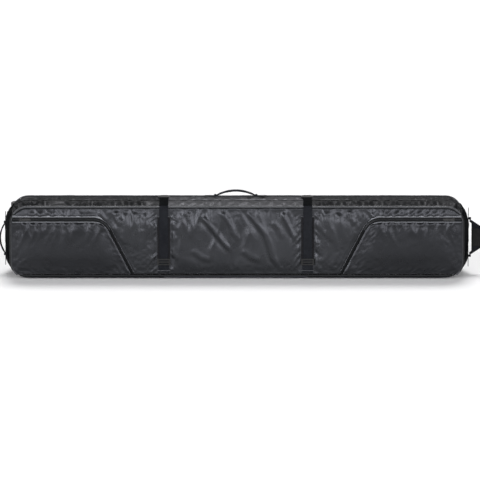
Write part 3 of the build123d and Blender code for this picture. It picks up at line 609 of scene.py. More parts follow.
# Long creases in the lid's front: points, width, height.
CREASES = [
    ([(-0.160, 0.285), (-0.124, 0.242), (-0.078, 0.185), (-0.049, 0.150), (-0.018, 0.112)], 0.011, 0.0040),
    ([(0.040, 0.310), (0.052, 0.285), (0.072, 0.260), (0.100, 0.226), (0.1205, 0.198), (0.138, 0.150),
      (0.155, 0.094), (0.185, 0.050), (0.226, 0.012)], 0.012, 0.0042),
    ([(0.190, 0.300), (0.207, 0.264), (0.226, 0.222), (0.244, 0.185), (0.250, 0.150)], 0.010, 0.0032),
    ([(0.366, 0.306), (0.375, 0.298), (0.386, 0.250), (0.392, 0.202), (0.405, 0.178), (0.425, 0.160)],
     0.014, 0.0034),
    ([(0.430, 0.300), (0.440, 0.262), (0.446, 0.225), (0.462, 0.186), (0.470, 0.150)], 0.014, 0.0032),
    ([(0.480, 0.305), (0.492, 0.270), (0.505, 0.232)], 0.013, 0.0030),
    ([(-0.520, 0.300), (-0.512, 0.262), (-0.500, 0.230)], 0.014, 0.0030),
    ([(-0.485, 0.298), (-0.481, 0.240), (-0.476, 0.140)], 0.015, 0.0036),
    ([(-0.440, 0.300), (-0.438, 0.230), (-0.434, 0.120)], 0.015, 0.0036),
    ([(-0.398, 0.292), (-0.395, 0.225), (-0.398, 0.140)], 0.014, 0.0034),
    ([(-0.250, 0.250), (-0.240, 0.180), (-0.246, 0.110)], 0.012, 0.0020),
    ([(-0.205, 0.300), (-0.196, 0.240), (-0.202, 0.170)], 0.011, 0.0022),
    ([(-0.075, 0.300), (-0.040, 0.262), (-0.020, 0.205), (0.020, 0.160)], 0.012, 0.0024),
    ([(0.150, 0.255), (0.180, 0.220), (0.196, 0.170)], 0.012, 0.0022),
    ([(0.020, 0.130), (0.060, 0.098), (0.110, 0.080)], 0.014, 0.0020),
    ([(-0.200, 0.130), (-0.150, 0.095), (-0.100, 0.080)], 0.014, 0.0018),
]
# Short folds that meet in Vs between the top piping and the pocket zips: (top x, bottom x).
VEES = [
    (-0.866, -0.850), (-0.838, -0.846), (-0.820, -0.800), (-0.785, -0.792), (-0.762, -0.740),
    (-0.716, -0.722), (-0.690, -0.668), (0.560, 0.585), (0.600, 0.588), (0.640, 0.622), (0.668, 0.640),
    (0.704, 0.676), (0.770, 0.742), (0.800, 0.772), (0.838, 0.812), (0.868, 0.846), (0.905, 0.880),
]
# Places along the lid where its upper front swells out, and by how much.
SWELLS = [(-0.475, 0.0090), (0.445, 0.0050)]


def crest(distance, width):
    """A rounded ridge about a line."""
    return np.exp(-(distance / width) ** 2)


def front_shape(x, z):
    """How far the lid's front stands out of its flat CAD face."""
    edge = np.minimum(half_height(x) - np.abs(z - MID_Z), FACE[0] - np.abs(x))
    edge = np.minimum(edge, z - LID_LOW_Z + 0.004)
    rim = smooth(edge, 0.0, 0.030)
    pocket = pocket_distance(x, z)
    strap = strap_distance(x)
    free = rim * smooth(pocket, POCKET_ZIP - 0.002, POCKET_ZIP + 0.022) * smooth(strap, 0.029, 0.046)
    crown = smooth(edge, 0.0, 0.075)
    level = (z - MID_Z) / 0.150
    out = free * (0.0010 + 0.0022 * crown + 0.0032 * (1 - level ** 2))
    out = out - 0.0050 * (1 - smooth(edge, 0.0015, 0.0080))
    # Folds that grow towards the top, and lie calmer over the pockets.
    upper = 0.16 + 0.84 * smooth(z, 0.10, 0.25)
    out = out + free * 0.0022 * noise(x / 0.085 + 3, z / 0.120, 11)
    bend = noise(x / 0.2, z / 0.06, 5) * 0.8 + (z - 0.3) * 3.0 * noise(x / 0.30, 0, 6)
    over_pocket = smooth(z, POCKET_TOP_Z - 0.005, POCKET_TOP_Z + 0.015)
    calm = 1 - 0.7 * over_pocket * smooth(np.abs(x), POCKET_KNEE_X, POCKET_KNEE_X + 0.06)
    streaks = ridged(x / 0.040 + bend, z / 0.150, 7) - 0.5
    slants = ridged((x + 0.45 * z) / 0.034, (z - 0.4 * x) / 0.110, 8) - 0.5
    for height, folds in ((0.0066, streaks), (0.0018, slants), (0.0005, noise(x / 0.018, z / 0.036, 9))):
        out = out + free * upper * calm * height * folds
    for centre, height in SWELLS:
        out = out + free * height * crest(x - centre, 0.080) * crest(z - 0.215, 0.062)
    for points, width, height in CREASES:
        distance, side, along = near_line(x, z, points)
        fade = smooth(along, 0.0, 0.18) * smooth(1 - along, 0.0, 0.30)
        ridge = crest(distance, width) - 0.55 * crest(distance + side * width * 1.1, width * 1.1)
        out = out + free * fade * height * 1.9 * ridge
    # Gathers that hang from the top seam.
    gather = np.abs(np.sin(pi * (x / 0.031 + 0.7 * noise(x / 0.07, 0, 15)))) ** 0.8 - 0.5
    fall = smooth(edge, 0.004, 0.014) * crest(TOP_SEAM_Z - z, 0.045)
    fall = fall * smooth(pocket, POCKET_ZIP + 0.030, POCKET_ZIP + 0.060) * smooth(strap, 0.028, 0.040)
    out = out + fall * 0.0006 * gather * (0.5 + 0.5 * noise(x / 0.11, 0, 16))
    gap = rim * smooth(pocket, POCKET_ZIP, POCKET_ZIP + 0.008) * (z > POCKET_TOP_Z)
    for top, low in VEES:
        distance, side, along = near_line(x, z, [(top, 0.311), (low, 0.272)])
        out = out + gap * 0.0034 * (crest(distance, 0.0080) - 0.7 * crest(distance + side * 0.012, 0.0090))
    # Puckers that run out from both sides of each strap.
    reach = smooth(strap, 0.029, 0.034) * (1 - smooth(strap, 0.040, 0.070)) * rim
    for s in STRAPS.values():
        from_strap = np.abs(x - s)
        pucker = ridged((z + 0.9 * from_strap) / 0.024 + 0.6 * noise(z / 0.05, 0, 21), x * 9, 23) - 0.4
        out = out + reach * 0.0036 * (from_strap < 0.08) * pucker
    # The strip over each pocket leans back, from a rolled edge beside the zip.
    off_zip = pocket - POCKET_ZIP
    lean = (z > POCKET_TOP_Z - 0.02) * smooth(off_zip, 0.004, 0.010)
    lean = lean * (1 - smooth(np.maximum(off_zip - 0.0030, 0), 0.006, 0.040))
    lean = lean * smooth(np.abs(x), POCKET_KNEE_X - 0.03, POCKET_KNEE_X + 0.05)
    out = out + 0.0056 * lean * smooth(edge, 0.0, 0.012)
    out = out + 0.0024 * crest(off_zip - 0.0060, 0.0040) * rim
    out = out - 0.0045 * (1 - smooth(pocket, 0.002, POCKET_ZIP * 0.5)) * smooth(edge, 0.004, 0.012)
    return out - 0.0030 * crest(off_zip + 0.0010, 0.0024) * rim


def face_columns(step, inset):
    """Column positions along the face, closer together round its corners."""
    straight = FACE[0] - FACE[2]
    middle = np.linspace(-straight, straight, int(2 * straight / step) + 1)
    angles = np.linspace(0, pi / 2, 15)[1:]
    bend = straight + (FACE[2] - inset) * np.sin(angles)
    return np.concatenate([-bend[::-1], middle, bend])


def face_rows(rows):
    """Shares of the face's height, closer together along its top and bottom seams."""
    fine = np.array([0, 0.0076, 0.0153, 0.0236])
    return np.concatenate([fine, np.linspace(0.034, 0.966, rows - 8), 1 - fine[::-1]])


def face_grid(step, shares, low_z, inset=0.0):
    """Grid of x and z that fills the face's outline down to low_z."""
    x = face_columns(step, inset)
    half = half_height(x, inset)
    low, high = np.maximum(MID_Z - half, low_z), MID_Z + half
    return np.repeat(x[:, None], len(shares), 1), low[:, None] * (1 - shares) + high[:, None] * shares


def with_y(x, y, z):
    return np.stack(np.broadcast_arrays(x, y, z), -1)


def pin_rim(pinned):
    """Pins the edge of a grid of cloth as well."""
    pinned[[0, -1], :] = True
    pinned[:, [0, -1]] = True
    return pinned


def front_folds():
    """Cloth simulation of the lid's front between its seams."""
    x, z = face_grid(0.0105, np.linspace(0, 1, 30), LID_LOW_Z)
    start = 0.0004 * noise(x / 0.02, z / 0.02, 31) + 0.5 * front_shape(x, z)
    pocket = pocket_distance(x, z)
    pinned = pin_rim((strap_distance(x) < 0.028) | (pocket < POCKET_ZIP + 0.004))
    return x[:, 0], settle(with_y(x, FACE_Y - start, z), pinned, 0.006, 0.9, 0.0025)


def clear_of_floor(points):
    """Eases the front's highest folds down to what stays above the floor when the lid lies open."""
    rise = FACE_Y - points[..., 1]
    most = FLOOR_ROOM + FLOOR_SLOPE * (points[..., 2] - HINGE_Z)
    eased = most * (1 - 0.3 * np.exp(-(rise - 0.7 * most) / (0.3 * most)))
    points[..., 1] = FACE_Y - np.where(rise > 0.7 * most, eased, rise)


def paint_groove_shade(mesh, cells):
    """Gives the front of a slab look 1, the painted groove shade, wherever all four corners of a cell are
    marked.
    """
    for k in np.flatnonzero((cells[:-1, :-1] & cells[1:, 1:]).ravel()):
        mesh.looks[2 * k] = 1


def lid_front():
    shares = face_rows(78)
    x, z = face_grid(0.0042, shares, LID_LOW_Z, 0.0004)
    front = with_y(x, FACE_Y - front_shape(x, z), z)
    columns, folds = front_folds()
    rows = np.interp(x[:, 0], columns, np.arange(len(columns)))
    front = front + finer(folds, rows, shares * (folds.shape[1] - 1)) * 0.9
    flat_y = FACE_Y - 0.0002  # under the straps
    front[..., 1] = np.where(strap_distance(x) < 0.0295, np.maximum(front[..., 1], flat_y), front[..., 1])
    clear_of_floor(front)
    edge = np.minimum(half_height(x) - np.abs(z - MID_Z), FACE[0] - np.abs(x))
    pocket = pocket_distance(x, z)
    gap = POCKET_ZIP + 0.0022 + 0.0030 * (z < POCKET_TOP_Z - 0.03)
    mesh = slab_grid(Mesh(), front, with_y(x, -0.1312, z))
    # Painted shade: the groove under the piping and the gaps beside the pocket zips take the dark groove
    # look.
    paint_groove_shade(mesh, (edge < 0.0068) | ((pocket < gap) & (pocket > -0.004)))
    obj = mesh.make("lid_front", "lid", [coated, groove_shade], "coated_fabric")
    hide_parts("lid_face")


lid_front()


def quilt(x, z, depth):
    """Sewn diamonds."""
    pitch = 0.090
    u, v = (x + z) / pitch, (x - z) / pitch
    du, dv = np.abs(u - np.round(u)), np.abs(v - np.round(v))
    return depth * (1 - np.exp(-(np.minimum(du, dv) * pitch / 0.006) ** 1.2))


def lid_liner():
    x, z = face_grid(0.006, np.linspace(0, 1, 52), LID_LOW_Z + 0.002, WALL + 0.0012)
    edge = half_height(x, WALL) - np.abs(z - MID_Z)
    puff = quilt(x, z, 0.0042) * smooth(edge, 0, 0.02)
    mesh = slab_grid(Mesh(), with_y(x, -0.1252 + puff, z), with_y(x, -0.1308, z))
    obj = mesh.make("lid_liner", "lid", [lining], "lining")
    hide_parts("lid_padding")


lid_liner()


# ---- the outside pockets
def pocket_folds(x, z, from_zip, rim, sign):
    """How far a pocket's fabric stands out, from its pads and folds."""
    low = 1 - smooth(z, 0.08, 0.20)
    middle = smooth(from_zip / (0.05 + 0.06 * low), 0.0, 1.0) * smooth(rim, 0.0, 0.100)
    level = (z - MID_Z + 0.02) / 0.125
    out = middle * (0.0022 + 0.0062 * (1 - level ** 2) + 0.0016 * noise(x / 0.11, z / 0.08, 41 + sign))
    # Pads that puff out below the zip with tight notches between, one every 35 to 45 mm.
    drop = POCKET_TOP_Z - z
    across = x + 0.25 * drop * noise(x / 0.10, 0, 43)
    phase = across / 0.041 + 0.55 * noise(across / 0.09, 0, 47 + sign)
    pad = np.abs(np.sin(pi * phase)) ** 0.7
    reach = 0.040 + 0.018 * noise(x / 0.06, 0, 49 + sign)
    hang = smooth(drop, 0.001, 0.017) * crest(drop, reach)
    hang = hang * smooth(rim, 0.010, 0.060) * smooth(from_zip, 0.001, 0.012)
    out = out + hang * (0.0030 + 0.0105 * (pad - 0.40) + 0.0007 * noise(x / 0.014, z / 0.022, 50))
    # Folds that fan down from the knee along the slant.
    slant = crest(from_zip, 0.080) * smooth(drop, 0.01, 0.05)
    slant = slant * smooth(from_zip, 0.001, 0.015) * smooth(z, 0.09, 0.17)
    out = out + 0.0042 * slant * (ridged((x * 0.85 + z * 0.40) / 0.030, z / 0.16, 51 + sign) - 0.5)
    out = out + 0.0022 * crest(from_zip - 0.0060, 0.0032) * smooth(rim, 0.0, 0.01)
    return out + 0.0005 * middle * noise(x / 0.02, z / 0.02, 55)


def pocket_fabric(name, sign):
    z = np.linspace(POCKET_LOW_Z + 0.0005, POCKET_TOP_Z - 0.0004, 62)
    inner = pocket_inner_x(z) + 0.0005
    outer = half_length(z, FACE, 0.0024)
    t = np.linspace(0, 1, 118)
    x = inner[None] * (1 - t[:, None]) + outer[None] * t[:, None]
    z = np.broadcast_to(z, x.shape)
    from_zip = -pocket_distance(x, z)
    out = pocket_folds(x, z, from_zip, np.minimum(outer[None] - x, z - POCKET_LOW_Z), sign)
    flat_y = FACE_Y - 0.0022
    front = with_y(sign * x, flat_y - out, z)
    coarse = (slice(None, None, 3),) * 2
    start = with_y(sign * x[coarse], flat_y - 0.6 * out[coarse], z[coarse])
    moved = settle(start, pin_rim(from_zip[coarse] < 0.004), 0.004, 0.8 * sign, 0.0020)
    rows, columns = (np.minimum(np.arange(n) / 3, m - 1) for n, m in zip(x.shape, moved.shape))
    front = front + finer(moved, rows, columns) * 0.8
    front[..., 1] = np.minimum(front[..., 1], FACE_Y - 0.0016)
    clear_of_floor(front)
    mesh = slab_grid(Mesh(), front, with_y(sign * x, FACE_Y - 0.0002, z))
    # Painted shade: the pocket's edge along the zip takes the dark groove look.
    paint_groove_shade(mesh, from_zip < 0.0018)
    obj = mesh.make(f"pocket_{name}_fabric", "lid", [pocket_shaded_cloth, groove_shade], "coated_fabric")
    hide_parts(f"pocket_{name}_panel")


# Sections across a pocket zip: half the laminated tape, and the fabric's rolled edges above and below it.
HALF_TAPE = [(0.0003, 0.0002), (0.0003, 0.0022), (0.0010, 0.0029), (0.0020, 0.0027), (0.0028, 0.0020),
             (0.0033, 0.0010), (0.0035, 0.0002)]
UPPER_EDGE = np.array([(0.0, 0.0004), (0.0, 0.0056), (0.0006, 0.0068), (0.0016, 0.0072), (0.0038, 0.0067),
                       (0.0062, 0.0060), (0.0086, 0.0052), (0.0090, 0.0004)])
LOWER_EDGE = np.array([(0.0, 0.0004), (0.0, 0.0034), (-0.0010, 0.0048), (-0.0030, 0.0058), (-0.0050, 0.0066),
                       (-0.0062, 0.0064), (-0.0070, 0.0050), (-0.0070, 0.0004)])


def pocket_zip(name, sign):
    """A laminated zip: two smooth tapes that meet over the coil, between grooves coloured with painted shade.
    """
    mesh = Mesh()
    middle = POCKET_ZIP / 2
    path = pocket_path(middle)
    tangent = np.gradient(path, axis=0)
    tangent /= np.linalg.norm(tangent, axis=1)[:, None]
    normal = np.stack([-tangent[:, 1], 0 * path[:, 0], tangent[:, 0]], 1) * (sign, 1, 1)
    line = with_y(sign * path[:, 0], FACE_Y, path[:, 1])
    for flip in (-1, 1):
        sweep(mesh, line, normal, FRONT, [(flip * a, b) for a, b in HALF_TAPE])
    # The strip under the tapes and edges takes the dark groove look: painted shade.
    low, high = -middle, middle + 0.0010
    groove = [(low, 0.0001), (low, 0.0005), (high, 0.0005), (high, 0.0001)]
    sweep(mesh, line, normal, FRONT, groove, look=1)
    # The stitches pull the rolled edges a little unevenly. They lie flatter on the slant.
    run = np.linspace(0, 40, len(line))
    level = 0.10 + 0.90 * smooth(np.abs(tangent[:, 0]), 0.80, 0.98)
    size = (level * (1 + 0.14 * noise(run, 0, 57 + sign)))[:, None, None]
    # The rolled edges take the lighter edge look: painted highlight.
    for place, profile in ((middle + 0.0006, UPPER_EDGE), (-middle + 0.0004, LOWER_EDGE)):
        sweep(mesh, line, normal, FRONT, profile[None] * size + (place, 0), look=2)
    # Painted shade: on the slant the tape takes the dark groove look.
    for k, face in enumerate(mesh.faces):
        if mesh.looks[k] == 0 and mesh.verts[face[0]][2] < POCKET_TOP_Z - 0.040:
            mesh.looks[k] = 1
    obj = mesh.make(f"pocket_{name}_closure", "lid", [laminate, groove_shade, edge_highlight], "zip_tape")
    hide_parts(f"pocket_{name}_zip")


for name, sign in (("left", -1), ("right", 1)):
    pocket_fabric(name, sign)
    pocket_zip(name, sign)


# ---- gussets, the bag's sides
def sawtooth(value, lean):
    """A wave of straight flanks, from -0.5 to 0.5, that rises over the share lean of its length."""
    part = value - np.floor(value)
    return np.where(part < lean, part / lean, (1 - part) / (1 - lean)) - 0.5


def crumple(run, y, seed, height):
    """Folds of a padded side: a zigzag ridge along it, slanting creases across it and small dents."""
    zigzag = sawtooth(run / 0.050 + 0.8 * noise(run / 0.14, 0, seed), 0.42)
    ridge = sawtooth(y / 0.115 + 0.62 * zigzag + 0.45 * noise(run / 0.12, y / 0.20, seed + 5), 0.42)
    lean = ridged((run + 0.5 * y) / 0.046, (y - 0.3 * run) / 0.130, seed + 2) - 0.45
    dents = noise(run / 0.022, y / 0.050, seed + 4)
    return height * (0.78 * ridge + 0.26 * lean + 0.06 * dents)


def strip(mesh, places, low, high, rows, lift, thick):
    """A padded strip of the bag's side between two depths, with look 1 inside."""
    t = np.linspace(0, 1, rows)
    y = low[:, None] * (1 - t) + high[:, None] * t
    many = np.repeat(places, rows, 0)
    shape = (len(places), rows, 3)
    outer = body_point(many, y.ravel()) + outward(many) * lift(run_along(places)[:, None], y).reshape(-1, 1)
    outer[:, 2] = np.maximum(outer[:, 2], 0.0003)
    inner = body_point(many, y.ravel(), thick(y).ravel())
    return slab_grid(mesh, outer.reshape(shape), inner.reshape(shape), 1)


def facing_up(places, least):
    """How much of the folds' height each place has: least on the ends, all of it on the top."""
    return least + (1 - least) * smooth(np.sin(np.radians(places[:, 2])), 0.3, 1.0)


def along_bottom(places):
    return (np.abs(places[:, 2] % 360 - 270) < 1) & (places[:, 0] != places[:, 1])


def full_wall(y):
    return np.full(y.shape, WALL)


def make_gusset(mesh, name, body):
    """The outside takes darker copies of the gusset fabric beyond the straps, and the darkest on both ends:
    painted shade.
    """
    for k, face in enumerate(mesh.faces):
        x = mesh.verts[face[0]][0]
        if mesh.looks[k] == 0 and not STRAPS["left"] < x < STRAPS["right"]:
            mesh.looks[k] = 2 if abs(x) > END_X else 3
    return mesh.make(name, body, [gusset, lining, end_painted_shade, side_painted_shade], "gusset_fabric")


def lid_gusset():
    places = stations(0.0055, bottom=False)
    height = body_point(places, -0.131)[:, 2]
    places = places[height > LID_LOW_Z + 0.0006]
    low = np.full(len(places), -0.1306)[:, None]
    high = np.maximum(opening_y(places, -0.0088)[:, None], low + 0.0008)
    x = body_point(places, 0.0)[:, 0]
    level = facing_up(places, 0.10) * (0.36 + 0.64 * smooth(np.abs(x + 0.03), 0.22, 0.42))
    level = (level * (0.22 + 0.78 * smooth(strap_distance(x), 0.022, 0.050)))[:, None]

    def lift(run, y):
        edge = smooth(y - low, 0, 0.010) * smooth(high - y, 0, 0.008)
        roll = crest(high - y - 0.003, 0.0026) * smooth(high - low, 0.01, 0.03)
        near = (0.55 + 0.45 * (1 - smooth(y - low, 0.060, 0.110))) * level
        return edge * (0.0020 + near * crumple(run, y, 61, 0.0165)) + 0.0011 * roll

    mesh = strip(Mesh(), places, low[:, 0], high[:, 0], 30, lift, full_wall)
    obj = make_gusset(mesh, "lid_gusset", "lid")
    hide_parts("lid_top_wall", "lid_left_end", "lid_right_end")


lid_gusset()


def base_lift(places, run, y, back_y):
    """The folds of the base's sides, which fade towards back_y."""
    side = np.where(along_bottom(places), 0.10, facing_up(places, 0.14))[:, None]
    return side * (0.0008 + crumple(run, y, 71, 0.0085)) * smooth(back_y - y, 0, 0.02)


def base_front_strip(mesh):
    """All the way round, from the opening back to the housings."""
    places = stations(0.0075)
    below = along_bottom(places)
    low = np.where(below, SIDE_FRONT_Y, np.maximum(opening_y(places, 0.0088), SIDE_FRONT_Y))

    def thick(y):
        return 0.0022 + (WALL - 0.0022) * smooth(y, -0.126, -0.112)

    def lift(run, y):
        from_edge = y - low[:, None]
        roll = crest(from_edge - 0.003, 0.0026) * ~below[:, None]
        return smooth(from_edge, 0, 0.010) * base_lift(places, run, y, 0.112) + 0.0011 * roll

    strip(mesh, places, low, np.full(len(places), HOUSING_Y), 34, lift, thick)
    return places


def base_rear_strip(mesh, places):
    """Behind the housings' front edge: the two long sides and the haul end."""
    keep = np.flatnonzero(body_point(places, HOUSING_Y)[:, 0] > HOUSING_X)
    start = keep[np.argmax(np.diff(keep) > 1) + 1]
    order = np.concatenate([keep[keep >= start], keep[keep < start][1:]])
    straight = FULL[0] - FULL[2]
    first, last = places[order[0]].copy(), places[order[-1]].copy()
    first[:4] = (1, 2, 90, (HOUSING_X + straight) / RUN_X)
    last[:4] = (3, 0, 270, (straight - HOUSING_X) / RUN_X)
    rear = np.concatenate([[first], places[order], [last]])
    run = run_along(places)[order]
    run = np.concatenate([run[:1], run, run[-1:]])[:, None]
    near, far = np.full(len(rear), HOUSING_Y), np.full(len(rear), SIDE_BACK_Y)
    strip(mesh, rear, near, far, 14, lambda _, y: base_lift(rear, run, y, 0.124), full_wall)


def wheel_end(mesh):
    """The end between the two housings."""
    z = np.linspace(HOUSING_Z + 0.0003, 2 * MID_Z - HOUSING_Z - 0.0003, 36)
    y = np.linspace(HOUSING_Y, SIDE_BACK_Y, 14)
    z, y = np.meshgrid(z, y, indexing="ij")
    taper = np.clip((y - FULL_Y) / (WALL_BACK_Y - FULL_Y), 0, 1)

    def end_x(inset):
        return -(half_length(z, FULL, inset) * (1 - taper) + half_length(z, FACE, inset) * taper)

    dent = (0.0008 + crumple(z + 1.05, y, 71, 0.0050)) * smooth(0.124 - y, 0, 0.02)
    slab_grid(mesh, with_y(end_x(0.0) - dent, y, z), with_y(end_x(WALL), y, z), 1)


def front_welt(mesh):
    """The strip along the bottom front edge, under the hinge piping."""
    rows = 5
    x = np.linspace(-0.934, 0.934, 500)
    low = MID_Z - half_height(x) + 0.0004
    t = np.linspace(0, 1, rows)
    z = low[:, None] * (1 - t) + np.maximum(low + 0.0006, 0.0112)[:, None] * t
    x = np.repeat(x[:, None], rows, 1)
    bulge = 0.0006 * np.sin(pi * t) + 0.0003 * noise(x / 0.02, z / 0.004, 75)
    slab_grid(mesh, with_y(x, SIDE_FRONT_Y - bulge, z), with_y(x, -0.1262, z))


def base_gusset():
    mesh = Mesh()
    base_rear_strip(mesh, base_front_strip(mesh))
    wheel_end(mesh)
    front_welt(mesh)
    obj = make_gusset(mesh, "base_gusset", "base")
    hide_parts("base_top_wall", "base_bottom_wall", "base_left_end", "base_right_end",
                "base_front_welt")


base_gusset()


# ---- the back and the inside
def back_grids(step, rows, inset, cut):
    """The back's outline in two grids: the full height, and the part between the wheel housings."""
    x = face_columns(step, inset)
    t = np.linspace(0, 1, rows)

    def grid(x, half):
        return np.repeat(x[:, None], rows, 1), (MID_Z - half)[:, None] * (1 - t) + (MID_Z + half)[:, None] * t

    right = np.concatenate([[HOUSING_X + cut], x[x > HOUSING_X + cut + 0.001]])
    left = np.concatenate([x[x < HOUSING_X + cut - 0.001], [HOUSING_X + cut]])
    part = np.minimum(half_height(left, inset), MID_Z - HOUSING_Z - cut)
    return [grid(right, half_height(right, inset)), grid(left, part)]


def base_back():
    mesh = Mesh()
    for x, z in back_grids(0.007, 46, 0.0004, 0.0003):
        edge = np.minimum(half_height(x) - np.abs(z - MID_Z), FACE[0] - np.abs(x))
        runner = np.minimum(np.abs(z - 0.060), np.abs(z - 0.260))  # distance to the nearer base runner
        free = smooth(edge, 0, 0.02) * smooth(runner, 0.012, 0.024)
        out = free * (0.0016 + 0.0010 * noise(x / 0.09, z / 0.07, 81)
                      + 0.0016 * (ridged((x + 0.7 * z) / 0.070, (z - 0.3 * x) / 0.11, 83) - 0.5)
                      + 0.0004 * noise(x / 0.02, z / 0.02, 85))
        slab_grid(mesh, with_y(x, BACK_Y - 0.0004 + out, z), with_y(x, WALL_BACK_Y + 0.0003, z))
    obj = mesh.make("base_back", "base", [coated], "coated_fabric")
    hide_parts("back_panel")


def base_liner():
    mesh = Mesh()
    inset = 0.0112
    for x, z in back_grids(0.007, 46, inset, 0.0006):
        edge = np.minimum(half_height(x, inset) - np.abs(z - MID_Z), FACE[0] - inset - np.abs(x))
        strap = np.abs(np.abs(x) - INNER_STRAPS[1])
        puff = quilt(x, z, 0.0040) * smooth(edge, 0, 0.02) * smooth(strap, 0.019, 0.040)
        slab_grid(mesh, with_y(x, 0.1190 - puff, z), with_y(x, 0.1228, z))
    obj = mesh.make("base_liner", "base", [lining], "lining")
    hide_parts("base_lining")


base_back()
base_liner()


# ---- piping
def welt(name, body, places, y, replaced, closed):
    """Fabric sewn round a cord, with the flange that runs into the seam."""
    mesh = Mesh()
    path = body_point(places, y)
    normal = outward(places)
    run = run_along(places)
    radius = 0.0029 + 0.00022 * noise(run / 0.016, 0, 91)
    path = path + normal * (0.0026 + 0.0004 * noise(run / 0.06, 0, 93))[:, None]
    # Painted shade and highlight: the upright parts take the darker copy of the piping, the rest the lighter
    # copy.
    upright = np.abs(normal[:, 0]) > 0.82
    looks = [int(up) for up in (upright if closed else upright[:-1]) for _ in range(ROD_SIDES)]
    looks += [] if closed else [0, 0]
    sweep(mesh, path, normal, Y, rod(radius), look=looks, closed=closed)
    flange = [(-0.0050, -0.0011), (-0.0016, -0.0011), (-0.0016, 0.0011), (-0.0050, 0.0011)]
    sweep(mesh, path, normal, Y, flange, closed=closed)
    obj = mesh.make(name, body, [piping, piping_painted_shade], "piping")
    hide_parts(replaced)


lid_places = stations(0.005, bottom=False)
lid_places = lid_places[body_point(lid_places, -0.134)[:, 2] > LID_LOW_Z - 0.001]
welt("lid_welt", "lid", lid_places, -0.1356, "lid_piping", False)
welt("back_welt", "base", stations(0.006)[:-1], 0.1300, "back_piping", True)


def hinge_welt():
    """The piping along the bottom front edge, about which the lid swings."""
    mesh = Mesh()
    x = np.linspace(-0.936, 0.936, 620)
    taper = smooth(0.938 - np.abs(x), 0, 0.02)
    radius = (0.0042 + 0.0003 * noise(x / 0.018, 0, 95)) * (0.35 + 0.65 * taper)
    sweep(mesh, with_y(x, HINGE_Y, HINGE_Z - 0.0002), Y, Z, rod(radius))
    # The hinge piping takes the darker piping copy: painted shade.
    obj = mesh.make("hinge_welt", "base", [piping_painted_shade], "piping")
    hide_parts("hinge_piping")


hinge_welt()


# ---- the main zip
def zip_half(name, body, side, replaced):
    """Half of the main zip: the tape in its channel, with a row of coil turns along its edge."""
    mesh = Mesh()

    def on_wall(places, offset, inset):
        return body_point(places, opening_y(places, side * offset, inset, False), inset)

    places = stations(0.006, bottom=False)
    places = places[on_wall(places, 0.005, 0.008)[:, 2] > 0.040]
    outer, inner, columns = 0.0072, 0.0088, 4
    edge, root = (opening_y(places, side * offset, outer, False)[:, None] for offset in (0.0004, 0.0105))
    t = np.linspace(0, 1, columns)
    y = (edge * (1 - t) + root * t).ravel()
    many = np.repeat(places, columns, 0)
    shape = (len(places), columns, 3)
    slab_grid(mesh, *(body_point(many, y, inset).reshape(shape) for inset in (outer, inner)))
    fine = stations(0.0030, bottom=False)
    fine = fine[on_wall(fine, 0.005, 0.007)[:, 2] > 0.041]
    low, high = (on_wall(fine, offset, 0.0064) for offset in (0.0005, 0.0027))
    normal = outward(fine)
    along = np.gradient((low + high) / 2, axis=0)
    along /= np.linalg.norm(along, axis=1)[:, None]
    box = [(0, 1, 5, 4), (1, 2, 6, 5), (2, 3, 7, 6), (3, 0, 4, 7), (0, 3, 2, 1), (4, 5, 6, 7)]
    turn = [(-0.0007, -0.0007), (0.0007, -0.0005), (0.0007, 0.0005), (-0.0007, 0.0007)]
    for a, b, n, d in zip(low, high, normal, along):
        corners = [end + n * up + d * across for end in (a, b) for up, across in turn]
        mesh.add(corners, box, 1)
    obj = mesh.make(name, body, [tape, coil], "zip_tape", sharp=35)
    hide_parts(replaced)


zip_half("lid_zip_half", "lid", -1, "lid_zip_tape")
zip_half("base_zip_half", "base", 1, "base_zip_tape")


# ---- straps
def stitch_box(mesh, centre, side, along, up, width, length):
    """A sewn box with a cross in it, of separate stitches in look 1."""
    centre, side, along, up = (np.asarray(v, float) for v in (centre, side, along, up))
    w, l = width / 2, length / 2
    a, b, c, d = np.array([(-w, -l), (w, -l), (w, l), (-w, l)])
    for a, b in ((a, b), (b, c), (c, d), (d, a), (a, c), (d, b)):
        count = max(2, int(np.linalg.norm(b - a) / 0.0034))
        for k in range(count):
            p, q = a + (b - a) * (k + 0.15) / count, a + (b - a) * (k + 0.85) / count
            line = [centre + side * v[0] + along * v[1] for v in (p, (p + q) / 2, q)]
            line = np.array([line[0], line[1] + up * 0.0003, line[2]])
            across = np.cross(up, line[2] - line[0])
            across /= np.linalg.norm(across)
            sweep(mesh, line, across, up, tube(0.00035, 5), 1)


def strap(name, x):
    mesh = Mesh()
    line = rounded([(0, STRAP_Y, 0.0690), (0, STRAP_Y, STRAP_Z), (0, 0.0550, STRAP_Z)], 0.0090)
    path = resample(line, 0.0035)
    z = path[:, 2]
    wave = smooth(z, 0.08, 0.12) * (1 - smooth(z, 0.25, 0.30))
    path[:, 1] -= 0.0005 * wave * (1 + noise(z / 0.035, 0, 101))
    path[:, 0] = x + 0.0010 * noise(z / 0.09 + x * 10, 0, 103) * wave
    section = band(0.0380, 0.0018)
    # Painted shade: the webbing over the top takes the darker copy.
    looks = [2 if height > 0.318 else 0 for height in z[:-1] for _ in section] + [0, 2]
    sweep(mesh, path, X, frames_along(path, X), section, look=looks)
    stitch_box(mesh, (x, 0.046, STRAP_Z + 0.0010), X, Y, Z, 0.028, 0.010)
    obj = mesh.make(f"strap_{name}_band", "lid", [webbing, thread, top_webbing_painted_shade], "webbing")
    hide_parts(f"strap_{name}_webbing")


